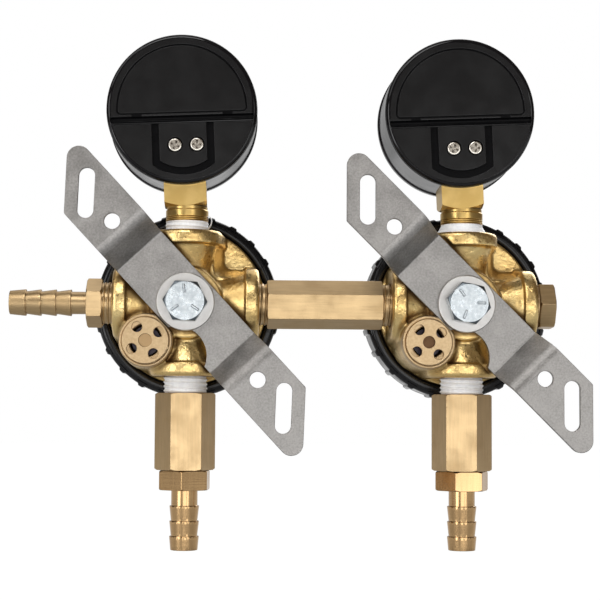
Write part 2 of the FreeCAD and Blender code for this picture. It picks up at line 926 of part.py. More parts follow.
def adjusting_screw():
    """Slotted pressure screw with a point that bears in the spring button."""
    screw = spin(
        [
            (screw_back, 0),
            (screw_back, screw_point_radius),
            (screw_back + screw_point_length, screw_diameter / 2),
            (screw_front, screw_diameter / 2, screw_end_round),
            (screw_front, 0),
        ],
        "y",
    )
    half = screw_slot_width / 2
    floor = screw_front - screw_slot_depth
    return screw.cut(block(-screw_diameter, screw_diameter, floor, screw_front + 1, -half, half))


def lock_nut(side):
    back = bonnet_front + lock_nut_gap
    front = back + lock_nut_thickness
    nut = hex_bar(lock_nut_flats, back, front, "y", Vector(0, 0, 0), lock_nut_turn[side], nut_chamfer)
    return nut.cut(rod(screw_diameter / 2 + screw_fit, back - 1, front + 1, "y"))


def mount_bolt(side):
    """Hex bolt with its head towards the wall, through washer and strap into the casting boss."""
    head_back = washer_back - bolt_head_height
    turn = bolt_head_turn[side]
    head = hex_bar(bolt_head_flats, head_back, washer_back, "y", Vector(0, 0, 0), turn, bolt_chamfer)
    return head.fuse(rod(bolt_diameter / 2, washer_back, bolt_tip, "y"))


def washer():
    disc = rod(washer_diameter / 2, washer_back, stand_off, "y")
    return disc.cut(rod(washer_bore / 2, washer_back - 1, stand_off + 1, "y"))


gauge_centre = Vector(0, 0, gauge_height)
case_back = gauge_back + cover_thickness
block_back = port_y - socket_block_depth * socket_block_behind
block_front = block_back + socket_block_depth
frame_front = block_front + frame_thickness
sector_drop = gear_module * (pinion_teeth + sector_teeth) / 2
dial_back = frame_front + dial_gap
pointer_back = dial_back + dial_thickness + pointer_gap
lens_back = gauge_front - bezel_lip - lens_thickness
gear_back = frame_front + gear_gap


def leaned(shape):
    """Gauges screw in slightly askew, so all above the port face leans about it by gauge_lean."""
    return turned_about_y(shape, gauge_lean, 0, port_reach)


def gauge_case():
    """Drawn cup without its back: thin wall, rolled front bezel and a square opening for the stem."""
    inner = case_radius - case_wall
    lip = inner - bezel_lip_width
    shell = spin(
        [
            (case_back, inner),
            (case_back, case_radius),
            (gauge_front - bezel_length, case_radius),
            (gauge_front - bezel_length, bezel_radius),
            (gauge_front, bezel_radius, bezel_round),
            (gauge_front, lip),
            (gauge_front - bezel_lip, lip),
            (gauge_front - bezel_lip, inner),
        ],
        "y",
        gauge_centre,
    )
    half = stem_flats / 2 + thread_fit
    opening = block(-half, half, port_y - half, port_y + half, 0, gauge_height - case_radius / 2)
    return leaned(shell.cut(opening))


def panel_slab(inset, depth):
    """The blow-out panel's outline, drawn in by inset: a circle cut off flat, its two corners rounded."""
    flat = panel_flat + inset
    back = gauge_back - overrun
    front = gauge_back + depth
    disc = rod(panel_radius - inset, back, front, "y")
    slab = disc.common(block(-case_radius, case_radius, back, front, flat, case_radius))
    corners = []
    for edge in slab.Edges:
        low = all(abs(v.Z - flat) < 1e-6 for v in edge.Vertexes)
        if low and abs(edge.Length - (front - back)) < 1e-6:
            corners.append(edge)
    return slab.makeFillet(panel_corner_radius - inset, corners)


def boss_slab(spread, back, front):
    """The screw boss's outline, let out by spread: straight sides and a foot that is an arc."""
    half = cover_boss_half_width + spread
    top = channel_bottom - ledge_width
    foot = Vector(0, 0, cover_boss_foot_radius - cover_boss_drop)
    sides = block(-half, half, back, front, -case_radius, top)
    return sides.common(rod(cover_boss_foot_radius + spread, back, front, "y", foot))


def cover_features():
    """Cuts of the back cover: the blow-out panel's line, the channel below it and the sunk lower half."""
    back = gauge_back - overrun
    floor = gauge_back + channel_depth
    panel = panel_slab(panel_groove_width, panel_groove_depth + overrun)
    groove = panel_slab(0, panel_groove_depth).cut(panel)
    bend = channel_floor_round
    band = [
        (back, channel_bottom),
        (back, channel_top),
        (floor, channel_top, bend),
        (floor, channel_bottom, bend),
    ]
    wire = rounded_wire(band, lambda y, z: Vector(-case_radius, y, z))
    channel = Part.Face(wire).extrude(Vector(2 * case_radius, 0, 0))
    channel = channel.common(rod(channel_radius, back, floor, "y"))
    notches = []
    for x in (-notch_outer, notch_inner):
        end = x + notch_outer - notch_inner
        notches.append(block(x, end, back, gauge_back + panel_groove_depth, channel_top, panel_flat))
    sunk = gauge_back + lower_recess
    low = block(-case_radius, case_radius, back, sunk, -case_radius, channel_bottom - ledge_width)
    lower = rod(channel_radius, back, sunk, "y").common(low)
    lower = lower.cut(boss_slab(0, gauge_back + cover_boss_sink, sunk + overrun))
    around = boss_slab(cover_boss_channel, back, floor).common(rod(channel_radius, back, floor, "y"))
    around = around.cut(boss_slab(0, back - overrun, floor + overrun))
    return [groove, channel, lower, around] + notches


def gauge_cover():
    """Moulded back cover with a blow-out panel above a ledge and a screw boss below it."""
    skirt = case_radius - case_wall - thread_fit
    cover = spin(
        [
            (gauge_back, 0),
            (gauge_back, cover_radius, cover_round),
            (case_back, cover_radius),
            (case_back, skirt),
            (case_back + cover_skirt_length, skirt),
            (case_back + cover_skirt_length, skirt - cover_skirt_wall),
            (case_back, skirt - cover_skirt_wall),
            (case_back, 0),
        ],
        "y",
    )
    cuts = cover_features()
    head_front = gauge_back + cover_boss_sink + case_screw_head_height
    shank_bore = case_screw_diameter / 2 + case_screw_fit
    head_bore = case_screw_head_diameter / 2 + case_screw_head_spare
    for x, z in case_screw_places:
        cuts.append(rod(shank_bore, gauge_back - 1, case_back + 1, "y", Vector(x, 0, z)))
        cuts.append(rod(head_bore, gauge_back - 1, head_front, "y", Vector(x, 0, z)))
    cover = cover.cut(cuts)
    cover.translate(gauge_centre)
    half = stem_flats / 2 + thread_fit
    opening = block(-half, half, case_back, gauge_front, 0, gauge_height - case_radius / 2)
    return leaned(cover.cut(opening))


def cross_recess(turn, place, back):
    """Two crossing slots in a screw head, turned about its axis."""
    long = cross_length / 2
    wide = cross_width / 2
    floor = back + cross_depth
    slots = []
    for angle in (turn, turn + 90):
        slot = turned_about_y(block(-long, long, back - overrun, floor, -wide, wide), angle)
        slot.translate(place)
        slots.append(slot)
    return slots


def case_screws():
    """The two cross-head screws that hold cover and case to the socket block."""
    back = gauge_back + cover_boss_sink
    screws = []
    for (x, z), turn in zip(case_screw_places, cross_turns):
        place = Vector(x, 0, z)
        head = spin(
            [
                (back, 0),
                (back, case_screw_head_diameter / 2, case_screw_round),
                (back + case_screw_head_height, case_screw_head_diameter / 2),
                (back + case_screw_head_height, 0),
            ],
            "y",
            place,
        )
        under = back + case_screw_head_height
        shank = rod(case_screw_diameter / 2, under, under + case_screw_length, "y", place)
        screw = head.fuse(shank).cut(cross_recess(turn, place, back))
        screw.translate(gauge_centre)
        screws.append(leaned(screw))
    return screws


def gauge_socket():
    """Brass stem: pipe thread, square for the spanner, and the block in the case that holds the tube."""
    half = stem_flats / 2
    corner = half * math.sqrt(2) + thread_fit
    base = gauge_height - case_radius + stem_top_inset
    square = block(-half, half, port_y - half, port_y + half, stem_start, base)
    shoulder = spin(
        [
            (stem_start, 0),
            (stem_start, thread_radius + stem_shoulder_spare),
            (stem_start + stem_shoulder_height, corner),
            (base, corner),
            (base, 0),
        ],
        "z",
        port_centre,
    )
    square = square.common(shoulder)
    thread = rod(thread_radius, thread_tip, stem_start, "z", port_centre)
    top = gauge_height + socket_block_top
    wide = socket_block_width / 2
    inner = block(socket_block_shift - wide, socket_block_shift + wide, block_back, block_front, base, top)
    cuts = []
    tap = case_screw_diameter / 2 + case_screw_tap_fit
    for x, z in case_screw_places:
        hole = rod(tap, gauge_back, block_back + case_screw_length, "y", gauge_centre + Vector(x, 0, z))
        cuts.append(hole)
    upper = leaned(square.fuse(inner).cut(cuts))
    way = rod(socket_bore / 2, thread_tip - 1, base + socket_bore_rise, "z", port_centre)
    return upper.fuse(thread).cut(way)


def bourdon_tube():
    """Flattened C-shaped tube, brazed into the socket block, that straightens under pressure."""
    middle = (block_back + block_front) / 2
    low = tube_mean_radius - tube_wall_height / 2
    high = tube_mean_radius + tube_wall_height / 2
    back = middle - tube_width / 2
    front = middle + tube_width / 2
    section = [(back, low), (back, high), (front, high), (front, low)]
    tube = turned_about_y(spin(section, "y", sweep=-tube_sweep_angle), -tube_start_angle)
    tube.translate(gauge_centre)
    stub_z = gauge_height - tube_mean_radius
    wide = socket_block_width / 2 + socket_block_shift
    place = math.cos(math.radians(tube_start_angle)) * tube_mean_radius
    foot_low = gauge_height + math.sin(math.radians(tube_start_angle)) * tube_mean_radius
    foot_top = foot_low + tube_foot_width
    foot_end = max(wide + tube_foot_ledge, place + tube_foot_width)
    foot = block(wide, foot_end, back, front, stub_z - tube_foot_overlap, foot_top)
    socket_top = gauge_height + socket_block_top
    room = block(-wide, wide, block_back - 1, block_front + 1, 0, socket_top)
    return leaned(tube.fuse(foot).cut(room))


def gauge_frame():
    """Flat movement plate on the socket block that carries both arbors."""
    half = frame_half_width
    low = gauge_height - sector_drop - frame_past_arbors
    high = gauge_height + frame_past_arbors
    foot = frame_foot_round
    head = frame_top_round
    outline = [(-half, low, foot), (half, low, foot), (half, high, head), (-half, high, head)]
    frame = plate(outline, block_front, frame_front)
    cuts = []
    for z in (gauge_height, gauge_height - sector_drop):
        bore = arbor_diameter / 2 + arbor_fit
        cuts.append(rod(bore, block_front - 1, frame_front + 1, "y", Vector(0, 0, z)))
    return leaned(frame.cut(cuts))


def gear_teeth(teeth, numbers, back, front, inner):
    """Straight-sided teeth on the pitch circle; narrower than their gaps, so they never bind."""
    radius = gear_module * teeth / 2
    found = []
    foot = tooth_width / 2 * tooth_foot_share
    tip = tooth_width / 2 * tooth_tip_share
    for k in numbers:
        tooth = plate(
            [
                (inner, -foot),
                (radius + tooth_height, -tip),
                (radius + tooth_height, tip),
                (inner, foot),
            ],
            back,
            front,
        )
        found.append(turned_about_y(tooth, -360 / teeth * k))
    return found


def gauge_sector():
    """Toothed sector on its arbor, with the tail that the tube pulls."""
    radius = gear_module * sector_teeth / 2
    back = gear_back
    front = gear_back + gear_thickness
    swing = pointer_sweep * pinion_teeth / sector_teeth
    step = 360 / sector_teeth
    rim = radius - tooth_depth
    count = int(swing / step) + sector_spare_teeth
    first = (90 / step) - sector_spare_teeth / 2
    web = spin([(back, 0), (back, rim), (front, rim), (front, 0)], "y", sweep=step * count)
    web = turned_about_y(web, -step * (first + count - 0.5))
    teeth = gear_teeth(sector_teeth, [first + k for k in range(count)], back, front, rim - tooth_overlap)
    hub = rod(sector_hub_radius, back, front, "y")
    half = sector_tail_width / 2
    end = sector_tail_length
    bend = sector_tail_round
    tail = plate([(0, -half), (end, -half, bend), (end, half, bend), (0, half)], back, front)
    tail = turned_about_y(tail, -(270 + swing / 2))
    arbor = rod(arbor_diameter / 2, block_front + arbor_end_gap, front + arbor_end_gap, "y")
    sector = hub.fuse([web, tail, arbor] + teeth)
    sector.translate(Vector(0, 0, gauge_height - sector_drop))
    return leaned(sector)


def gauge_pointer():
    """Pointer, hub, arbor and pinion in one, turned to its zero mark at the lower left of the dial."""
    radius = gear_module * pinion_teeth / 2
    back = gear_back - pinion_overhang
    front = gear_back + gear_thickness + pinion_overhang
    arbor = rod(arbor_diameter / 2, block_front + arbor_end_gap, pointer_back + pointer_thickness, "y")
    core = rod(radius - tooth_depth, back, front, "y")
    teeth = gear_teeth(pinion_teeth, range(pinion_teeth), back, front, arbor_diameter / 2 - tooth_overlap)
    hub = rod(pointer_hub_radius, pointer_back, pointer_back + pointer_thickness + pointer_hub_rise, "y")
    half = pointer_width / 2
    blade = plate(
        [
            (-pointer_tail, -half, pointer_tail_round),
            (pointer_length, -pointer_tip_width / 2),
            (pointer_length, pointer_tip_width / 2),
            (-pointer_tail, half, pointer_tail_round),
        ],
        pointer_back,
        pointer_back + pointer_thickness,
    )
    blade = turned_about_y(blade, -pointer_start)
    pointer = arbor.fuse([core, hub, blade] + teeth)
    pointer.translate(gauge_centre)
    return leaned(pointer)


def gauge_dial():
    radius = case_radius - case_wall - dial_edge_gap
    dial = rod(radius, dial_back, dial_back + dial_thickness, "y", gauge_centre)
    hole = rod(arbor_diameter / 2 + dial_hole_spare, dial_back - 1, dial_back + 1, "y", gauge_centre)
    return leaned(dial.cut(hole))


def gauge_lens():
    radius = case_radius - case_wall - thread_fit
    return leaned(rod(radius, lens_back, lens_back + lens_thickness, "y", gauge_centre))


def tape(start, end):
    """A few turns of sealing tape left showing on a pipe thread."""
    outer = rod(thread_radius + tape_thickness, start, end, "z", port_centre)
    return outer.cut(rod(thread_radius, start - 1, end + 1, "z", port_centre))


def outlet_barb(side):
    tail = {
        "first": outlet_first_ridge,
        "length": outlet_barb_length,
        "count": outlet_barb_count,
        "ridge": outlet_ridge_diameter,
        "valley": outlet_valley_diameter,
        "bore": outlet_bore,
    }
    turn = outlet_hex_turn[side]
    start = -outlet_hex_top
    return hose_tail(start, outlet_hex_length, outlet_hex_flats, turn, -barb_thread_top, tail, "z")


def inlet_barb():
    tail = {
        "first": inlet_first_ridge,
        "length": inlet_barb_length,
        "count": barb_count,
        "ridge": inlet_ridge_diameter,
        "valley": inlet_valley_diameter,
        "bore": inlet_bore,
    }
    start = port_reach + inlet_thread_show
    return hose_tail(start, inlet_hex_length, small_hex_flats, inlet_hex_turn, thread_tip, tail, "x")


def build_side(side):
    place = sides[side] * pitch / 2
    made = {
        "bracket": strap(side),
        "body_casting": casting(side),
        "valve_poppet": valve_poppet(),
        "poppet_spring": poppet_spring(),
        "diaphragm": diaphragm(),
        "diaphragm_plate": diaphragm_plate(),
        "range_spring": range_spring(),
        "spring_button": spring_button(),
        "bonnet": bonnet(),
        "adjusting_screw": adjusting_screw(),
        "lock_nut": lock_nut(side),
        "relief_poppet": relief_poppet(),
        "relief_spring": relief_spring(),
        "check_body": check_body(side),
        "check_poppet": check_poppet(),
        "check_spring": check_spring(),
        "gauge_socket": gauge_socket(),
        "bourdon_tube": bourdon_tube(),
        "gauge_sector": gauge_sector(),
        "gauge_pointer": gauge_pointer(),
        "gauge_dial": gauge_dial(),
        "gauge_case": gauge_case(),
        "gauge_cover": gauge_cover(),
        "gauge_lens": gauge_lens(),
    }
    made["outlet_barb"] = outlet_barb(side)
    for name, shape in made.items():
        keep(side + "_" + name, moved(shape, place))
    alike = {
        "mount_bolts": [mount_bolt(side)],
        "mount_washers": [washer()],
        "valve_seats": [valve_seat()],
        "relief_caps": [relief_cap(side)],
        "gauge_frames": [gauge_frame()],
        "gauge_screws": case_screws(),
        "thread_tape": [tape(port_reach, port_reach + gauge_tape_length), tape(check_top, -port_reach)],
    }
    for name, shapes in alike.items():
        groups.setdefault(name, []).extend(moved(shape, place) for shape in shapes)


groups = {}
for side in sides:
    build_side(side)
for name, shapes in groups.items():
    keep(name, Part.makeCompound(shapes))
keep("hex_nipple", nipple())
keep("inlet_barb", moved(inlet_barb(), -pitch / 2))
keep("end_plug", moved(plug(), pitch / 2))

os.makedirs("parts", exist_ok=True)
for name, shape in pieces.items():
    shape.exportStep("parts/" + name + ".step")
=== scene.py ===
import math

import bmesh
import bpy
import numpy as np
from mathutils import Matrix, Vector, noise


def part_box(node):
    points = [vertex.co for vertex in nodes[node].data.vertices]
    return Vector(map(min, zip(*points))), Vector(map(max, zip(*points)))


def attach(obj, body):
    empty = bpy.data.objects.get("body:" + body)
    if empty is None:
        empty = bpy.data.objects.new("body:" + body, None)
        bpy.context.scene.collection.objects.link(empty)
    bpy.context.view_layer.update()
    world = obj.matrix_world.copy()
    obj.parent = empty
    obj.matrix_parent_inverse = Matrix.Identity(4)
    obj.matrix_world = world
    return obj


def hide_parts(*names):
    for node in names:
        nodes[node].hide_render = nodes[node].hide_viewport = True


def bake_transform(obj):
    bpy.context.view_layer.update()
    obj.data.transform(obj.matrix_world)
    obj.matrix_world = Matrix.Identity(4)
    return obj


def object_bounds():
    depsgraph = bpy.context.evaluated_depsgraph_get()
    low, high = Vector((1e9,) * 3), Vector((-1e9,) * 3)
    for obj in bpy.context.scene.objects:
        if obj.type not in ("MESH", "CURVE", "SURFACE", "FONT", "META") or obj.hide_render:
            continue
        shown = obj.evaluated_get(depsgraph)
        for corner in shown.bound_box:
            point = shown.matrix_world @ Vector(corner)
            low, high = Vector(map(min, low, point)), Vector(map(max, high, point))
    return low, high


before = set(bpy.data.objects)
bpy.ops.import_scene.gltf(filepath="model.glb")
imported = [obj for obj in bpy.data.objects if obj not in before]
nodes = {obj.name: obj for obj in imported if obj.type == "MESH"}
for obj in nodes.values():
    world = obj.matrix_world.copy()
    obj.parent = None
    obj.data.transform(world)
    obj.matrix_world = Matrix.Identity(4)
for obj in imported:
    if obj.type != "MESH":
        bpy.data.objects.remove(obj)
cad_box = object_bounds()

scene = bpy.context.scene
mm = 0.001
# The two regulators, each by the place of its middle along X.
hands = {"left": -46.25 * mm, "right": 46.25 * mm}


# The view: the regulator's back, photographed from straight behind and a little below.
# Place, direction, roll and lens come from fitting the part's own circles and edges to the photograph.
view_from = Vector((-31.49, -504.29, -32.13)) * mm
view_azimuth = math.radians(-2.546)
view_elevation = math.radians(-3.687)
view_roll = math.radians(0.323)

camera = bpy.data.objects.new("camera", bpy.data.cameras.new("camera"))
camera.data.sensor_width = 36
camera.data.lens = 93.88
camera.data.clip_start = 0.02
camera.data.clip_end = 20
forward = Vector((
    -math.sin(view_azimuth) * math.cos(view_elevation),
    math.cos(view_azimuth) * math.cos(view_elevation),
    -math.sin(view_elevation),
))
level = Vector((math.cos(view_azimuth), math.sin(view_azimuth), 0))
upright = level.cross(forward)
across = level * math.cos(view_roll) + upright * math.sin(view_roll)
up = upright * math.cos(view_roll) - level * math.sin(view_roll)
camera.matrix_world = Matrix.Translation(view_from) @ Matrix((across, up, -forward)).transposed().to_4x4()
scene.collection.objects.link(camera)
scene.camera = camera
scene.view_settings.view_transform = "Standard"


# The studio: a pale floor well below the part, a white surround, and large soft lamps.
# The white is only what the lens, polished metal and glass see, so the lamps stay at a plain level.
floor_drop = 0.22
floor_size = 9.0
surround_white = 1.0
mirrored_white = 0.5
room_grey = 0.13
room_tint = (1.0, 0.80, 0.63)
room_light = 0.34
backdrop_edge = (0.55, 0.90)
near_floor = 0.42
far_floor = 1.7
floor_grey = 0.5
floor_seen = 0.85
far_floor_mirrored = 0.6

floor = bpy.data.objects.new("floor", bpy.data.meshes.new("floor"))
floor_level = cad_box[0].z - floor_drop
floor_corners = ((-1, -1), (1, -1), (1, 1), (-1, 1))
floor.data.from_pydata([(x * floor_size, y * floor_size, floor_level) for x, y in floor_corners],
                       [], [(0, 1, 2, 3)])
scene.collection.objects.link(floor)


def wired(tree, kind, settings=None, **inputs):
    """Adds a node. An input is named by its socket, or i0, i1 and so on, and is a value or a node's output."""
    made = tree.nodes.new("ShaderNode" + kind)
    for key, value in (settings or {}).items():
        setattr(made, key, value)
    for key, value in inputs.items():
        numbered = key[0] == "i" and key[1:].isdigit()
        socket = made.inputs[int(key[1:]) if numbered else key.replace("_", " ")]
        if isinstance(value, bpy.types.NodeSocket):
            tree.links.new(value, socket)
        else:
            socket.default_value = value
    return made


def math_node(tree, operation, a, b):
    """The result of a sum on two values or outputs."""
    return wired(tree, "Math", {"operation": operation}, i0=a, i1=b).outputs[0]


def ramp(tree, value, low, high, to_low=0.0, to_high=1.0):
    """Leads a value smoothly from to_low to to_high while it passes from low to high."""
    return wired(tree, "MapRange", {"interpolation_type": "SMOOTHSTEP"}, Value=value, From_Min=low,
                 From_Max=high, To_Min=to_low, To_Max=to_high).outputs[0]


def mirror_or_glass(tree, rays):
    """1 where the light is seen by way of a polished surface or a window."""
    return math_node(tree, "MAXIMUM", rays.outputs["Is Glossy Ray"], rays.outputs["Is Transmission Ray"])


floor_finish = bpy.data.materials.new("floor")
floor_finish.use_nodes = True
tree = floor_finish.node_tree
tree.nodes.clear()
rays = wired(tree, "LightPath")
seen = math_node(tree, "MAXIMUM", rays.outputs["Is Camera Ray"], mirror_or_glass(tree, rays))
# Painted shade: seen in polished metal and glass, the floor's glow fades towards the part, standing in for the
# part's shade on the floor. The lens sees it evenly bright.
place_on_floor = wired(tree, "TexCoord").outputs["Object"]
away_from_part = wired(tree, "VectorMath", {"operation": "LENGTH"}, i0=place_on_floor).outputs["Value"]
paler = ramp(tree, away_from_part, near_floor, far_floor, 0.0, far_floor_mirrored)
behind_part = math_node(tree, "MULTIPLY", rays.outputs["Is Camera Ray"], floor_seen)
bright = math_node(tree, "MAXIMUM", behind_part, paler)
lit = wired(tree, "BsdfDiffuse", Color=(floor_grey, floor_grey, floor_grey, 1))
glow = wired(tree, "Emission", Color=(1, 1, 1, 1), Strength=math_node(tree, "MULTIPLY", seen, bright))
both = wired(tree, "AddShader", i0=lit.outputs[0], i1=glow.outputs[0])
wired(tree, "OutputMaterial", Surface=both.outputs[0])
floor.data.materials.append(floor_finish)

world = bpy.data.worlds.new("studio")
scene.world = world
world.use_nodes = True
tree = world.node_tree
tree.nodes.clear()
rays = wired(tree, "LightPath")
facing = wired(tree, "SeparateXYZ", i0=wired(tree, "TexCoord").outputs["Generated"])
backdrop = ramp(tree, facing.outputs["Y"], *backdrop_edge, room_grey, mirrored_white)
mirrored = mirror_or_glass(tree, rays)
unseen = wired(tree, "Mix", {"data_type": "FLOAT"}, i0=mirrored, i2=room_light, i3=backdrop)
strength = wired(tree, "Mix", {"data_type": "FLOAT"}, i0=rays.outputs["Is Camera Ray"],
                 i2=unseen.outputs[0], i3=surround_white)
tint = ramp(tree, facing.outputs["Y"], *backdrop_edge, 1.0, 0.0)
warmth = wired(tree, "Mix", {"data_type": "RGBA"}, i0=math_node(tree, "MULTIPLY", tint, mirrored),
               i6=(1, 1, 1, 1), i7=(*room_tint, 1))
sky = wired(tree, "Background", Color=warmth.outputs[2], Strength=strength.outputs[0])
wired(tree, "OutputWorld", Surface=sky.outputs[0])

# Each lamp: place in metres, power in watts, width and height. All of them face the middle of the part.
lamps = {
    "lamp_behind_lens": ((0.03, -0.98, -0.20), 2.45, 0.55, 0.66),
    "lamp_above": ((-0.15, -0.68, 0.75), 3.0, 0.45, 0.45),
    "lamp_left": ((-0.72, -0.66, 0.05), 2.6, 0.40, 0.60),
    "lamp_right": ((0.47, -0.85, 0.02), 1.2, 0.30, 0.60),
    "lamp_overhead": ((-0.05, 0.32, 0.62), 0.8, 0.50, 0.50),
    "lamp_upper_left": ((-0.56, -0.30, 0.60), 1.3, 0.50, 0.50),
    "lamp_far_side": ((0.40, 0.80, 0.50), 3.4, 0.60, 0.60),
}
for name, (place, power, width, height) in lamps.items():
    lamp = bpy.data.objects.new(name, bpy.data.lights.new(name, "AREA"))
    lamp.data.shape = "RECTANGLE"
    lamp.data.energy = power
    lamp.data.size = width
    lamp.data.size_y = height
    lamp.location = place
    lamp.rotation_euler = (-Vector(place)).to_track_quat("-Z", "Y").to_euler()
    lamp.visible_camera = False
    scene.collection.objects.link(lamp)


# Wall straps: 2 mm stainless sheet, blanked, pierced and joggled in a press, then tumbled.
# Tumbling leaves a dull grey skin with a fine random grain and slightly cloudy patches.
class Finish:
    """A material under construction: one surface shader, and the textures that feed it."""

    def __init__(self, name, colour, roughness, metallic=0.0, **sockets):
        self.material = bpy.data.materials.new(name)
        self.material.use_nodes = True
        self.tree = self.material.node_tree
        self.tree.nodes.clear()
        self.shader = wired(self.tree, "BsdfPrincipled", Base_Color=(*colour, 1), Roughness=roughness,
                            Metallic=metallic, **sockets)
        wired(self.tree, "OutputMaterial", Surface=self.shader.outputs[0])
        self.place = wired(self.tree, "TexCoord").outputs["Object"]

    def grain(self, scale, detail=3.0, stretch=(1, 1, 1), roughness=0.55):
        """Noise over the surface; scale is in cells per metre, stretch thins it along an axis."""
        spread = wired(self.tree, "Mapping", Vector=self.place, Scale=stretch)
        return wired(self.tree, "TexNoise", Vector=spread.outputs[0], Scale=scale, Detail=detail,
                     Roughness=roughness).outputs[0]

    def level(self, value, *limits):
        return ramp(self.tree, value, *limits)

    def blend(self, amount, first, second):
        """Two colours, or a colour and another blend, mixed by amount."""
        made = wired(self.tree, "Mix", {"data_type": "RGBA"}, i0=amount)
        for socket, colour in ((made.inputs[6], first), (made.inputs[7], second)):
            if isinstance(colour, bpy.types.NodeSocket):
                self.tree.links.new(colour, socket)
            else:
                socket.default_value = (*colour, 1)
        return made.outputs[2]

    def crevice_shade(self, reach):
        """0 on open faces, rising to 1 in corners and hollows, where less light reaches: a mask for painted
        shade.
        """
        shade = wired(self.tree, "AmbientOcclusion", {"samples": 8}, Distance=reach)
        return math_node(self.tree, "SUBTRACT", 1.0, shade.outputs["AO"])

    def colour(self, value):
        self.tree.links.new(value, self.shader.inputs["Base Color"])

    def roughness(self, value):
        self.tree.links.new(value, self.shader.inputs["Roughness"])

    def relief(self, *layers):
        """Bumps of the surface, each as a texture and its height in millimetres."""
        before = None
        for height, depth in layers:
            bump = wired(self.tree, "Bump", Height=height, Strength=1.0, Distance=depth * mm)
            if before is not None:
                self.tree.links.new(before, bump.inputs["Normal"])
            before = bump.outputs[0]
        self.tree.links.new(before, self.shader.inputs["Normal"])


def dress(finish, *names):
    """Gives CAD nodes their finish."""
    for name in names:
        nodes[name].data.materials.clear()
        nodes[name].data.materials.append(finish.material)


def on_both(name):
    return [hand + "_" + name for hand in hands]


def as_mesh(work, name):
    """Keeps finished edit geometry as a plain mesh."""
    mesh = bpy.data.meshes.new(name)
    work.to_mesh(mesh)
    work.free()
    return mesh


def settle(obj):
    """Applies an object's modifiers and leaves a plain mesh."""
    depsgraph = bpy.context.evaluated_depsgraph_get()
    mesh = bpy.data.meshes.new_from_object(obj.evaluated_get(depsgraph))
    obj.modifiers.clear()
    obj.data = mesh


def show(name, mesh, finish, body="root", smooth=True):
    """Adds a piece that moves with a body."""
    piece = bpy.data.objects.new(name, mesh)
    scene.collection.objects.link(piece)
    piece.data.materials.clear()
    piece.data.materials.append(finish.material)
    if smooth:
        piece.data.shade_smooth()
    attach(piece, body)
    return piece


same_point = 0.002 * mm
same_plane = math.radians(0.5)


def eased(name, width, finish, steps=2, crease=35):
    """Shows a CAD node with its edges sharper than the crease angle rounded, as press and mould leave them."""
    work = bmesh.new()
    work.from_mesh(nodes[name].data)
    bmesh.ops.remove_doubles(work, verts=work.verts, dist=same_point)
    bmesh.ops.dissolve_limit(work, angle_limit=same_plane, verts=work.verts, edges=work.edges)
    sharp = [e for e in work.edges if len(e.link_faces) == 2 and e.calc_face_angle(0) > math.radians(crease)]
    bmesh.ops.bevel(work, geom=sharp, offset=width, segments=steps, profile=0.5, affect="EDGES",
                    clamp_overlap=False)
    piece = show(name + "_eased", as_mesh(work, name), finish)
    piece.data.set_sharp_from_angle(angle=math.radians(crease))
    piece.modifiers.new("flat_faces", "WEIGHTED_NORMAL").keep_sharp = True
    settle(piece)
    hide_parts(name)
    return piece


edge_rounding = 0.22 * mm

stainless = Finish("tumbled_stainless", (0.40, 0.39, 0.38), 0.42, 1.0)
fine = stainless.grain(1500, 4, (1, 1, 1), 0.7)
cloud = stainless.grain(130, 3)
dull = stainless.blend(stainless.level(fine, 0.3, 0.7), (0.225, 0.218, 0.21), (0.325, 0.315, 0.303))
pale = stainless.blend(stainless.level(fine, 0.3, 0.7), (0.305, 0.296, 0.286), (0.415, 0.40, 0.386))
stainless.colour(stainless.blend(stainless.level(cloud, 0.35, 0.68), dull, pale))
stainless.roughness(stainless.level(cloud, 0.3, 0.7, 0.40, 0.50))
stainless.relief((fine, 0.018), (stainless.grain(420, 2), 0.02))
for name in on_both("bracket"):
    eased(name, edge_rounding, stainless)


# Body castings: sand-cast brass, tumbled bright, with the boss, ports and relief seat machined.
# The cast skin is re-meshed from the CAD solid so that its corners run soft, as molten metal leaves them.
cast_cell = 0.38 * mm
cast_softening = 12
port_face = 24.2 * mm
port_depth = 19.0 * mm
boss_back = 10.0 * mm
relief_place = (-12.8 * mm, -12.8 * mm)
relief_boss_radius = 9.6 * mm
relief_boss_foot = 8.6 * mm
# Machined faces and the flange keep the least softness; away from them it grows to full over the reach.
crisp_reach = 0.9 * mm
crisp_least = 0.15
bonnet_flange = 36 * mm
softness_steps = 10

cast_brass = Finish("cast_brass", (0.75, 0.55, 0.24), 0.30, 1.0)
pits = cast_brass.grain(1300, 3, (1, 1, 1), 0.6)
swell = cast_brass.grain(260, 2)
dents = cast_brass.grain(700, 2)
tone = cast_brass.grain(90, 3)
worn = cast_brass.blend(cast_brass.level(tone, 0.35, 0.7), (0.72, 0.495, 0.195), (0.81, 0.62, 0.285))
# Painted shade and oxide: the casting darkens to dark brown in its corners and hollows, where less light
# reaches and oxide stays.
stain_and_shade = cast_brass.level(cast_brass.crevice_shade(3.2 * mm), 0.08, 0.52)
cast_brass.colour(cast_brass.blend(stain_and_shade, worn, (0.19, 0.108, 0.04)))
cast_brass.roughness(math_node(cast_brass.tree, "ADD", cast_brass.level(pits, 0.3, 0.75, 0.26, 0.42),
                               math_node(cast_brass.tree, "MULTIPLY", stain_and_shade, 0.25)))
cast_brass.relief((swell, 0.24), (dents, 0.15), (pits, 0.045))

blasted_brass = Finish("blasted_brass", (0.57, 0.41, 0.235), 0.46, 1.0)
speckle = blasted_brass.grain(1400, 3, (1, 1, 1), 0.7)
blasted = blasted_brass.blend(blasted_brass.level(speckle, 0.3, 0.7), (0.51, 0.365, 0.205), (0.60, 0.45, 0.265))
# Painted shade: the blasted brass darkens to brown in its corners and hollows, such as the gap round the relief
# cap.
corners = blasted_brass.level(blasted_brass.crevice_shade(1.2 * mm), 0.4, 0.95)
blasted_brass.colour(blasted_brass.blend(corners, blasted, (0.30, 0.19, 0.10)))
blasted_brass.relief((speckle, 0.02))

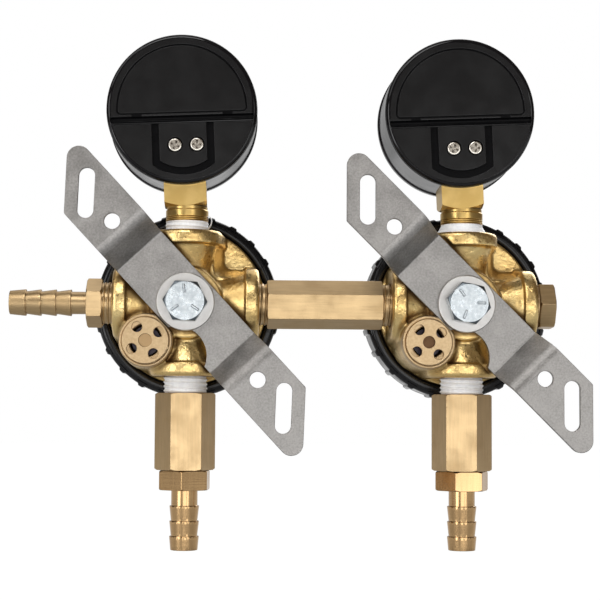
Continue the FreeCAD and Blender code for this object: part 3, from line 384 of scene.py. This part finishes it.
skin = bpy.data.objects.new("cast_skin", nodes["left_body_casting"].data.copy())
scene.collection.objects.link(skin)
skin.data.materials.clear()
remesh = skin.modifiers.new("cells", "REMESH")
remesh.mode = "VOXEL"
remesh.voxel_size = cast_cell
settle(skin)
points = np.zeros(len(skin.data.vertices) * 3)
skin.data.vertices.foreach_get("co", points)
points = points.reshape(-1, 3)
away = points - np.array((hands["left"], port_depth, 0))
off_machined = np.minimum.reduce([
    np.abs(np.abs(away[:, 0]) - port_face),
    np.abs(np.abs(away[:, 2]) - port_face),
    np.abs(points[:, 1] - boss_back),
])
softness = np.clip(off_machined / crisp_reach, crisp_least, 1)
softness[points[:, 1] > bonnet_flange] = crisp_least
group = skin.vertex_groups.new(name="cast")
for step in range(softness_steps + 1):
    chosen = np.nonzero(np.round(softness * softness_steps) == step)[0]
    if len(chosen):
        group.add(chosen.tolist(), step / softness_steps, "REPLACE")
smooth = skin.modifiers.new("soften", "SMOOTH")
smooth.factor = 0.5
smooth.iterations = cast_softening
smooth.vertex_group = "cast"
settle(skin)
for hand, x in hands.items():
    mesh = skin.data.copy()
    mesh.transform(Matrix.Translation((x - hands["left"], 0, 0)))
    body = show(hand + "_casting", mesh, cast_brass)
    body.data.materials.append(blasted_brass.material)
    for face in body.data.polygons:
        beside = math.hypot(face.center.x - x - relief_place[0], face.center.z - relief_place[1])
        if beside < relief_boss_radius and face.center.y < relief_boss_foot:
            face.material_index = 1
    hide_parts(hand + "_body_casting")
bpy.data.objects.remove(skin)


# Strap bolts and washers: a zinc-plated hexagon-head bolt and a pressed washer hold each strap to its boss.
# The head carries three raised strokes, forged in with it, and its bright plating is mottled blue and white.
zinc = Finish("bright_zinc", (0.78, 0.84, 0.87), 0.30, 1.0)
spangle = zinc.grain(900, 4, (1, 1, 1), 0.7)
plated = zinc.blend(zinc.level(spangle, 0.35, 0.68), (0.43, 0.475, 0.505), (0.58, 0.62, 0.64))
# Painted shade: the plating darkens to near black in its corners and creases, such as round the strokes.
zinc.colour(zinc.blend(zinc.level(zinc.crevice_shade(0.5 * mm), 0.12, 0.5), plated, (0.10, 0.12, 0.15)))
zinc.roughness(zinc.level(zinc.grain(500, 2), 0.3, 0.7, 0.22, 0.38))
zinc.relief((spangle, 0.012))
dress(zinc, *on_both("lock_nut"), *on_both("spring_button"))
# Painted reflection: the chamfer faces of the bolt heads take a dark copy of the zinc, standing in for the dark
# room they mirror.
chamfer_shade = Finish("forged_edge_zinc", (0.13, 0.15, 0.165), 0.30, 1.0)
chamfer_shade.relief((chamfer_shade.grain(900, 4, (1, 1, 1), 0.7), 0.012))
# Faces of the head that lean away by between these amounts are its chamfer.
chamfer_least = 0.5
chamfer_most = 0.97
chamfer_end = 2.6 * mm
bolt_rounding = 0.12 * mm
bolt_turns = {"left": 25.0, "right": 22.0}
bolts = eased("mount_bolts", bolt_rounding, zinc, crease=20)
bolts.data.materials.append(chamfer_shade.material)
for face in bolts.data.polygons:
    if chamfer_least < -face.normal.y < chamfer_most and face.center.y < chamfer_end:
        face.material_index = 1
for vertex in bolts.data.vertices:
    hand = "left" if vertex.co.x < 0 else "right"
    axis = Vector((hands[hand], 0, 0))
    vertex.co = axis + Matrix.Rotation(math.radians(bolt_turns[hand]), 3, "Y") @ (vertex.co - axis)

washer_steel = Finish("satin_washer", (0.74, 0.72, 0.71), 0.42, 1.0)
washer_steel.colour(washer_steel.blend(washer_steel.grain(700, 3), (0.50, 0.49, 0.475), (0.61, 0.60, 0.585)))
washer_steel.relief((washer_steel.grain(900, 2), 0.015))
washer_rounding = 0.45 * mm
eased("mount_washers", washer_rounding, washer_steel, steps=3)

stroke_length = 2.9 * mm
stroke_width = 0.85 * mm
stroke_height = 0.40 * mm
stroke_middle = 4.0 * mm
stroke_foot = 1.12 * mm
strokes = {"left": (95, 215, 325), "right": (125, 0, 250)}
# Each level of a stroke: its share of the height, and how far it draws in as a share of the width.
stroke_levels = ((0.0, 0.0), (0.6, 0.10), (1.0, 0.3))


def outward(angle):
    """The direction at an angle in the XZ plane, and the one to its side."""
    return Vector((math.cos(angle), 0, math.sin(angle))), Vector((-math.sin(angle), 0, math.cos(angle)))


def close_rings(work, rings):
    """Joins rings of vertices into a closed solid."""
    count = len(rings[0])
    for low, high in zip(rings, rings[1:]):
        for i in range(count):
            work.faces.new((low[i], low[(i + 1) % count], high[(i + 1) % count], high[i]))
    work.faces.new(rings[0][::-1])
    work.faces.new(rings[-1])


forging = bmesh.new()
for hand, x in hands.items():
    for angle in strokes[hand]:
        along, side = outward(math.radians(angle))
        middle = Vector((x, stroke_foot, 0)) + along * stroke_middle
        rings = []
        for rise, draw in stroke_levels:
            reach = stroke_length / 2 - draw * stroke_width
            half = stroke_width / 2 - draw * stroke_width
            level_middle = middle - Vector((0, rise * stroke_height, 0))
            rings.append([forging.verts.new(level_middle + along * (s * reach) + side * (t * half))
                          for s, t in ((-1, -1), (1, -1), (1, 1), (-1, 1))])
        close_rings(forging, rings)
bmesh.ops.recalc_face_normals(forging, faces=forging.faces)
show("bolt_strokes", as_mesh(forging, "bolt_strokes"), zinc, smooth=False)


# Bonnets: moulded in glossy black plastic, with ribs round the rim for gripping.
# Handling dulls the gloss a little, unevenly.
bonnet_black = Finish("bonnet_black", (0.006, 0.006, 0.007), 0.20, 0.0, Specular_IOR_Level=0.30)
handled = bonnet_black.grain(140, 4)
bonnet_black.colour(bonnet_black.blend(handled, (0.004, 0.004, 0.005), (0.009, 0.009, 0.010)))
bonnet_black.roughness(bonnet_black.level(handled, 0.35, 0.7, 0.14, 0.30))
bonnet_black.relief((bonnet_black.grain(600, 2), 0.012))
dress(bonnet_black, *on_both("bonnet"))


# Nipple, plug, check valves and hose barbs: hexagon bar brass, turned and milled, left dull.
# The drawn bar keeps faint lines along its length, and the turned tails keep rings round them.
drawn_out = 0.06


def bar_finish(name, along, flat=(0.62, 0.445, 0.24), dark=(0.47, 0.305, 0.14), dull=(0.30, 0.44), lines=0.020):
    """Brass of a bar that lies along axis 0 or 2: its flat and dark colours, roughness, and depth of lines."""
    brass = Finish(name, flat, 0.34, 1.0)
    lengthwise = tuple(drawn_out if axis == along else 1.0 for axis in range(3))
    crosswise = tuple(1.0 if axis == along else drawn_out for axis in range(3))
    drawn = brass.grain(1500, 3, lengthwise, 0.6)
    turned = brass.grain(1900, 2, crosswise, 0.5)
    tone = brass.grain(120, 3)
    body = brass.blend(brass.level(drawn, 0.3, 0.7), flat, tuple(0.88 * c for c in flat))
    stain_and_shade = brass.blend(brass.level(tone, 0.50, 0.85, 0.0, 0.4), body, dark)
    # Painted shade: the bar darkens to dark brown in its corners and hollows.
    brass.colour(brass.blend(brass.level(brass.crevice_shade(2.5 * mm), 0.35, 0.9), stain_and_shade, (0.22, 0.12, 0.05)))
    brass.roughness(brass.level(tone, 0.3, 0.7, *dull))
    brass.relief((drawn, lines), (turned, 0.010))
    return brass


level_bar = bar_finish("level_bar_brass", 0, (0.54, 0.385, 0.205), (0.42, 0.275, 0.125))
upright_bar = bar_finish("upright_bar_brass", 2)
tail_bar = bar_finish("tail_bar_brass", 2, (0.54, 0.35, 0.17), (0.42, 0.25, 0.11), (0.14, 0.22), 0.008)
bar_rounding = 0.14 * mm
for name in ("hex_nipple", "inlet_barb", "end_plug"):
    eased(name, bar_rounding, level_bar)
for name in on_both("check_body"):
    eased(name, bar_rounding, upright_bar)
for name in on_both("outlet_barb"):
    eased(name, bar_rounding, tail_bar)
dress(upright_bar, *on_both("check_poppet"))


# Pipe threads: a taper thread shows for a few turns wherever a fitting doesn't reach its shoulder.
# Each is rolled into the neck of its fitting, so the ridge is one helix with rounded crests.
thread_lead = 1.41 * mm
thread_root = 6.55 * mm
thread_crest = 7.1 * mm
thread_flank = 0.42
thread_rows = 24
facets = 72
# Stations along X at which each visible stretch of thread starts and ends.
necks = {
    "inlet_thread": (-74.0, -70.5), "nipple_thread_left": (-22.0, -19.3),
    "nipple_thread_right": (19.3, 22.0), "plug_thread": (70.5, 71.8),
}


def sleeve(radius_at, start, end, along, centre, rows):
    """A closed bar round an axis; radius_at gives its radius for an angle, a station and a share of length."""
    axes = {"x": (Vector((1, 0, 0)), Vector((0, 1, 0)), Vector((0, 0, 1))),
            "y": (Vector((0, 1, 0)), Vector((0, 0, 1)), Vector((1, 0, 0))),
            "z": (Vector((0, 0, 1)), Vector((1, 0, 0)), Vector((0, 1, 0)))}
    ahead, first, second = axes[along]
    made = bmesh.new()
    rings = []
    for row in range(rows + 1):
        station = start + (end - start) * row / rows
        middle = Vector(centre) + ahead * station
        ring = []
        for facet in range(facets):
            a = math.tau * facet / facets
            spoke = first * math.cos(a) + second * math.sin(a)
            ring.append(made.verts.new(middle + spoke * radius_at(a, station, row / rows)))
        rings.append(ring)
    close_rings(made, rings)
    bmesh.ops.recalc_face_normals(made, faces=made.faces)
    return as_mesh(made, "sleeve")


def rolled(a, station, share):
    """Radius of the thread: one ridge that climbs by a lead in each turn, with rounded crests."""
    ridge = max(0.0, 1 - abs((station / thread_lead + a / math.tau) % 1.0 - 0.5) / thread_flank) ** 0.8
    return thread_root + (thread_crest - thread_root) * ridge


for name, (start, end) in necks.items():
    mesh = sleeve(rolled, start * mm, end * mm, "x", (0, port_depth, 0), thread_rows)
    show(name, mesh, level_bar)


# Adjusting screws: threaded steel studs with a slot for a screwdriver and a turned point on the spring button.
# The thread is rolled and zinc-plated; the lock nut below the end holds the setting.
screw_lead = 1.25 * mm
screw_tip = 62.6 * mm
screw_shoulder = 65.0 * mm
screw_end = 91.6 * mm
screw_crest = 4.74 * mm
screw_root = 4.05 * mm
screw_flank = 0.44
screw_point = 0.2 * mm
screw_chamfer = 0.75 * mm
screw_chamfer_length = 0.9 * mm
screw_rows = 210
screw_slot_width = 1.6 * mm
screw_slot_depth = 2.6 * mm
screw_slot_length = 12 * mm


def stud(a, station, share):
    """Radius of the adjusting screw: a turned point, the thread, and a chamfered end."""
    ridge = max(0.0, 1 - abs((station / screw_lead - a / math.tau) % 1.0 - 0.5) / screw_flank)
    start = min(1.0, max(0.0, (station - screw_shoulder) / screw_lead))
    thread = screw_root + (screw_crest - screw_root) * ridge * start
    from_tip = (station - screw_tip) / (screw_shoulder - screw_tip)
    point = screw_point + (screw_root - screw_point) * from_tip
    ending = screw_crest - screw_chamfer * max(0.0, 1 - (screw_end - station) / screw_chamfer_length)
    return min(thread, point, ending)


for hand, x in hands.items():
    mesh = sleeve(stud, screw_tip, screw_end, "y", (x, 0, 0), screw_rows)
    threaded = show(hand + "_threaded_screw", mesh, zinc, hand + "_adjusting_screw")
    cutter = bmesh.new()
    bmesh.ops.create_cube(cutter, size=1.0)
    bmesh.ops.scale(cutter, vec=(screw_slot_length, screw_slot_depth * 2, screw_slot_width), verts=cutter.verts)
    bmesh.ops.translate(cutter, vec=(x, screw_end, 0), verts=cutter.verts)
    slot_tool = bpy.data.objects.new("screwdriver_slot", as_mesh(cutter, "screwdriver_slot"))
    scene.collection.objects.link(slot_tool)
    milling = threaded.modifiers.new("slot", "BOOLEAN")
    milling.object = slot_tool
    milling.solver = "EXACT"
    settle(threaded)
    threaded.data.set_sharp_from_angle(angle=math.radians(45))
    bpy.data.objects.remove(slot_tool)
    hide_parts(hand + "_adjusting_screw")


# Sealing tape: thin white PTFE film wound a few turns round the gauge and outlet threads.
# It takes the thread's ridges, its edges are ragged, and one loose end stands up beside the left stem.
tape = Finish("ptfe_tape", (0.93, 0.93, 0.94), 0.40)
layers = tape.level(tape.grain(900, 3, (1, 1, 0.3)), 0.3, 0.7)
tape.colour(tape.blend(layers, (0.88, 0.88, 0.90), (0.97, 0.97, 0.97)))
tape.relief((tape.grain(1700, 3, (0.4, 0.4, 1.6)), 0.05))

lump_height = 0.10 * mm
lump_length = 0.9 * mm
lumps_round = 2.3
tape_hem = 0.08
tape_rows = 40


def wound(base, swell, slope, seed):
    """Radius of taped thread: soft ridges, uneven build-up, ends drawn in, and a foot spread by slope."""
    def radius_at(a, station, share):
        ridge = 0.5 + 0.5 * math.cos(math.tau * (station / thread_lead + a / math.tau))
        lump = noise.noise((math.cos(a) * lumps_round + seed, math.sin(a) * lumps_round, station / lump_length))
        edge = min(1.0, share / tape_hem, (1 - share) / tape_hem)
        return base + slope * (1 - share) ** 1.6 + (swell * ridge ** 1.5 + lump_height * lump) * edge
    return radius_at


# Each wrap: its regulator, the stations in millimetres where it starts and ends, and its build-up.
wraps = {
    "tape_gauge_left": ("left", 24.25, 27.45, wound(7.0 * mm, 0.22 * mm, 0.0, 1.0)),
    "tape_gauge_right": ("right", 24.25, 27.35, wound(6.9 * mm, 0.10 * mm, 1.7 * mm, 5.0)),
    "tape_outlet_left": ("left", -29.65, -24.25, wound(6.9 * mm, 0.42 * mm, 0.0, 9.0)),
    "tape_outlet_right": ("right", -29.65, -24.25, wound(6.9 * mm, 0.42 * mm, 0.0, 13.0)),
}
for name, (hand, start, end, shape) in wraps.items():
    mesh = sleeve(shape, start * mm, end * mm, "z", (hands[hand], port_depth, 0), tape_rows)
    show(name, mesh, tape)
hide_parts("thread_tape")

# The loose end, in millimetres: its path and middle in the XZ plane from the left stem's axis, and its two
# edges, each by its Y and by how far the path is spread there.
loop_path = ((6.9, 24.5), (7.7, 24.8), (8.4, 25.9), (8.7, 27.2), (8.5, 28.3),
             (7.8, 28.9), (7.1, 28.5), (6.9, 27.4), (6.8, 26.6))
loop_middle = Vector((7.6, 26.7))
loop_shift = Vector((hands["left"] / mm - 0.5, 0.5))
loop_edges = ((16.6, 0.92), (19.4, 1.06))
film = 0.16

ribbon = bmesh.new()
rings = []
for i, spot in enumerate(loop_path):
    before = Vector(loop_path[max(i - 1, 0)])
    after = Vector(loop_path[min(i + 1, len(loop_path) - 1)])
    out = Vector((after.y - before.y, before.x - after.x)).normalized() * film
    ring = []
    for y, spread in loop_edges:
        inner = loop_shift + loop_middle + (Vector(spot) - loop_middle) * spread
        for face in (inner, inner + out):
            ring.append(ribbon.verts.new(Vector((face.x, y, face.y)) * mm))
    rings.append([ring[0], ring[1], ring[3], ring[2]])
close_rings(ribbon, rings)
bmesh.ops.recalc_face_normals(ribbon, faces=ribbon.faces)
show("tape_loop", as_mesh(ribbon, "tape_loop"), tape)


# Relief caps: turned brass discs with four vent holes, staked into their bosses and matt from bead blasting.
# The valve seats, poppets and diaphragm plates inside share the finish.
cap_rounding = 0.12 * mm
cap_back = 4.15 * mm
cap_middle = 2.35 * mm

caps = eased("relief_caps", cap_rounding, blasted_brass)
# Painted shade: the floor of the left cap's dimple takes a darker brass, standing in for the shade in the
# dimple.
dimple = Finish("dimple_shade", (0.40, 0.27, 0.14), 0.42, 1.0)
dimple.relief((dimple.grain(1100, 3, (1, 1, 1), 0.7), 0.05))
oxide = Finish("drilled_floor", (0.15, 0.085, 0.045), 0.5, 1.0)
oxide.relief((oxide.grain(1300, 3, (1, 1, 1), 0.7), 0.10))
caps.data.materials.append(dimple.material)
caps.data.materials.append(oxide.material)
for face in caps.data.polygons:
    hand = "left" if face.center.x < 0 else "right"
    beside = math.hypot(face.center.x - hands[hand] - relief_place[0], face.center.z - relief_place[1])
    if beside < cap_middle and face.center.y > cap_back:
        face.material_index = 1 if hand == "left" else 2
dress(blasted_brass, "valve_seats", *on_both("valve_poppet"), *on_both("diaphragm_plate"))

seal = Finish("relief_seal", (0.045, 0.02, 0.06), 0.35)
seal.relief((seal.grain(900, 2), 0.02))
dress(seal, *on_both("relief_poppet"))


# Inner springs and diaphragm: drawn steel wire, and rubber sheet on fabric.
# Each spring is held at one end by the body and pushed at the other by a moving part.
wire = Finish("spring_wire", (0.55, 0.56, 0.58), 0.32, 1.0)
wire.relief((wire.grain(2200, 2), 0.01))
# Each spring: the body that pushes it, then its held and its pushed end.
springs = {
    "range_spring": ("spring_button", (0, 40.5 * mm, 0), (0, 61.0 * mm, 0)),
    "poppet_spring": ("inlet_valve", (0, 17.05 * mm, 0), (0, 21.05 * mm, 0)),
    "relief_spring": ("relief_poppet", (0, 5.6 * mm, 0), (0, 9.6 * mm, 0)),
    "check_spring": ("check_poppet", (0, 0, -45.6 * mm), (0, 0, -35.35 * mm)),
}
for name, (pushed_by, seat, face) in springs.items():
    for hand in hands:
        node = hand + "_" + name
        coil = bpy.data.objects.new(node + "_coil", nodes[node].data.copy())
        scene.collection.objects.link(coil)
        coil.data.materials.clear()
        coil.data.materials.append(wire.material)
        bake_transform(coil)
        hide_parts(node)
rubber = Finish("diaphragm_rubber", (0.03, 0.03, 0.03), 0.6)
rubber.relief((rubber.grain(1600, 2), 0.03))
dress(rubber, *on_both("diaphragm"))


# Gauge stems: square brass bar, milled bright, with a turned neck above its taped thread.
# The movement inside, its tube, frame and sector, is stamped and formed from the same yellow brass.
stem_brass = Finish("stem_brass", (0.84, 0.66, 0.30), 0.30, 1.0)
milled = stem_brass.grain(1500, 3, (1, 1, 0.08), 0.6)
# Painted shade: the stems and movement darken to brown in their corners and hollows.
corners = stem_brass.level(stem_brass.crevice_shade(2.5 * mm), 0.35, 0.9)
bright_brass = stem_brass.blend(stem_brass.level(stem_brass.grain(160, 3), 0.35, 0.7),
                                (0.62, 0.42, 0.14), (0.72, 0.51, 0.19))
stem_brass.colour(stem_brass.blend(corners, bright_brass, (0.34, 0.19, 0.06)))
stem_brass.relief((milled, 0.015))
dress(stem_brass, *on_both("gauge_socket"), *on_both("bourdon_tube"), *on_both("gauge_sector"), "gauge_frames")
neck_foot = 27.4 * mm
neck_top = 31.6 * mm
neck_radius = 7.1 * mm
neck_groove = 0.30 * mm
neck_grooves = 3
groove_pitches = 7
groove_flank = 0.28
neck_chamfer = 0.5 * mm
chamfer_share = 0.12
neck_rows = 56


def turned_neck(a, station, share):
    """Radius of the neck under the square: fine grooves above the tape, then plain to a chamfered top."""
    cut = max(0.0, 1 - abs((share * groove_pitches) % 1.0 - 0.5) / groove_flank)
    groove = neck_groove * cut if share < neck_grooves / groove_pitches else 0.0
    return neck_radius - groove - neck_chamfer * max(0.0, 1 - (1 - share) / chamfer_share)


for hand, x in hands.items():
    mesh = sleeve(turned_neck, neck_foot, neck_top, "z", (x, port_depth, 0), neck_rows)
    show(hand + "_stem_neck", mesh, stem_brass).data.set_sharp_from_angle(angle=math.radians(50))


# Gauge cases and back covers: a drawn steel case in black enamel, closed behind by a moulded cover.
# The cover's D-shaped panel blows out if the tube bursts; its ledge and screw boss are moulded in.
enamel = Finish("case_enamel", (0.006, 0.006, 0.007), 0.16, 0.0, Specular_IOR_Level=0.26)
enamel.roughness(enamel.level(enamel.grain(200, 3), 0.3, 0.7, 0.10, 0.18))
dress(enamel, *on_both("gauge_case"))
cover = Finish("cover_plastic", (0.005, 0.005, 0.005), 0.22, 0.0, Specular_IOR_Level=0.30)
cover.colour(cover.blend(cover.grain(120, 3), (0.008, 0.008, 0.0085), (0.013, 0.013, 0.0135)))
cover.roughness(cover.level(cover.grain(160, 3), 0.3, 0.7, 0.19, 0.25))
cover.relief((cover.grain(1500, 2), 0.006))
polished = Finish("cover_polished", (0.004, 0.004, 0.005), 0.08, 0.0, Specular_IOR_Level=0.35)
polished.roughness(polished.level(polished.grain(160, 3), 0.3, 0.7, 0.07, 0.12))
# Painted shade: faces sunk deeper than the panel or ledge take a darker, hardly reflecting copy of the plastic,
# standing in for the shade in the channels.
hollow = Finish("cover_shaded_hollows", (0.0035, 0.0035, 0.004), 0.30, 0.0, Specular_IOR_Level=0.06)
hollow.roughness(hollow.level(hollow.grain(160, 3), 0.3, 0.7, 0.25, 0.36))
cover_rounding = 0.18 * mm
panel_depth = 0.45 * mm
ledge_depth = 0.75 * mm
ledge_top = -3.5 * mm
panel_radius = 21.45 * mm
for name in on_both("gauge_cover"):
    lid = eased(name, cover_rounding, cover)
    lid.data.materials.append(polished.material)
    lid.data.materials.append(hollow.material)
    low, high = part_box(name)
    middle = (low + high) / 2
    for face in lid.data.polygons:
        off_centre = math.hypot(face.center.x - middle.x, face.center.z - middle.z)
        flat_depth = ledge_depth if face.center.z < middle.z + ledge_top else panel_depth
        if face.center.y > low.y + flat_depth:
            face.material_index = 2
        elif off_centre > panel_radius:
            face.material_index = 1
nickel = Finish("nickel_screw", (0.80, 0.76, 0.68), 0.22, 1.0)
# Painted shade: the screw heads darken in their cross recesses and round their edges.
corners = nickel.level(nickel.crevice_shade(0.7 * mm), 0.12, 0.6)
nickel.colour(nickel.blend(corners, (0.80, 0.76, 0.68), (0.10, 0.08, 0.06)))
nickel.relief((nickel.grain(1600, 2), 0.01))
dress(nickel, "gauge_screws")


# Dials, pointers and windows: a white disc printed in black, a stamped black pointer, a clear moulded window.
# The print is a scale of 50 divisions over the pointer's sweep, with a plain number at every tenth line.
dial_paint = Finish("dial_paint", (0.90, 0.90, 0.88), 0.38)
dial_paint.relief((dial_paint.grain(1500, 2), 0.004))
dress(dial_paint, *on_both("gauge_dial"))
pointer_paint = Finish("pointer_paint", (0.02, 0.02, 0.02), 0.35)
pointer_paint.relief((pointer_paint.grain(1500, 2), 0.004))
dress(pointer_paint, *on_both("gauge_pointer"))

dial_face = 28.4 * mm
pointer_rest = -43.23
pointer_sweep = 270.0
print_build = 0.03 * mm
dial_divisions = 50
tick_outer = 22.2 * mm
# Length and half width of a line, by the count of divisions at which it comes round.
tick_sizes = {10: (3.0 * mm, 0.32 * mm), 5: (2.2 * mm, 0.14 * mm), 1: (1.5 * mm, 0.14 * mm)}
number_every = 10
number_per_division = 2
number_radius = 15.8 * mm
number_size = 4.6 * mm
facing_out = Matrix(((-1, 0, 0), (0, 0, 1), (0, 1, 0))).to_4x4()
for hand in hands:
    low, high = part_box(hand + "_gauge_dial")
    middle = (low + high) / 2
    ink = bmesh.new()
    for step in range(dial_divisions + 1):
        along, side = outward(math.radians(pointer_rest + pointer_sweep * step / dial_divisions))
        length, half = next(size for every, size in tick_sizes.items() if step % every == 0)
        tick_inner = tick_outer - length
        outline = ((tick_inner, -half), (tick_outer, -half), (tick_outer, half), (tick_inner, half))
        close_rings(ink, [[ink.verts.new(Vector((middle.x, dial_face + lift, middle.z)) + along * r + side * s)
                           for r, s in outline] for lift in (0, print_build)])
    bmesh.ops.recalc_face_normals(ink, faces=ink.faces)
    show(hand + "_dial_ticks", as_mesh(ink, "dial_ticks"), pointer_paint, smooth=False)
    for step in range(0, dial_divisions + 1, number_every):
        along = outward(math.radians(pointer_rest + pointer_sweep * step / dial_divisions))[0]
        number = str(step * number_per_division)
        lettering = bpy.data.curves.new("dial_number", "FONT")
        lettering.body = number
        lettering.size = number_size
        lettering.extrude = print_build / 2
        lettering.align_x = "CENTER"
        lettering.align_y = "CENTER"
        plate = bpy.data.objects.new("plate", lettering)
        scene.collection.objects.link(plate)
        mesh = bpy.data.meshes.new_from_object(plate.evaluated_get(bpy.context.evaluated_depsgraph_get()))
        bpy.data.objects.remove(plate)
        spot = Vector((middle.x, dial_face + print_build / 2, middle.z)) + along * number_radius
        mesh.transform(Matrix.Translation(spot) @ facing_out)
        show(f"{hand}_dial_number_{number}", mesh, pointer_paint, smooth=False)
window = Finish("window", (0.97, 0.98, 0.99), 0.03, 0.0, Transmission_Weight=1.0, IOR=1.46)
window.roughness(window.level(window.grain(220, 2), 0.3, 0.7, 0.02, 0.05))
dress(window, *on_both("gauge_lens"))
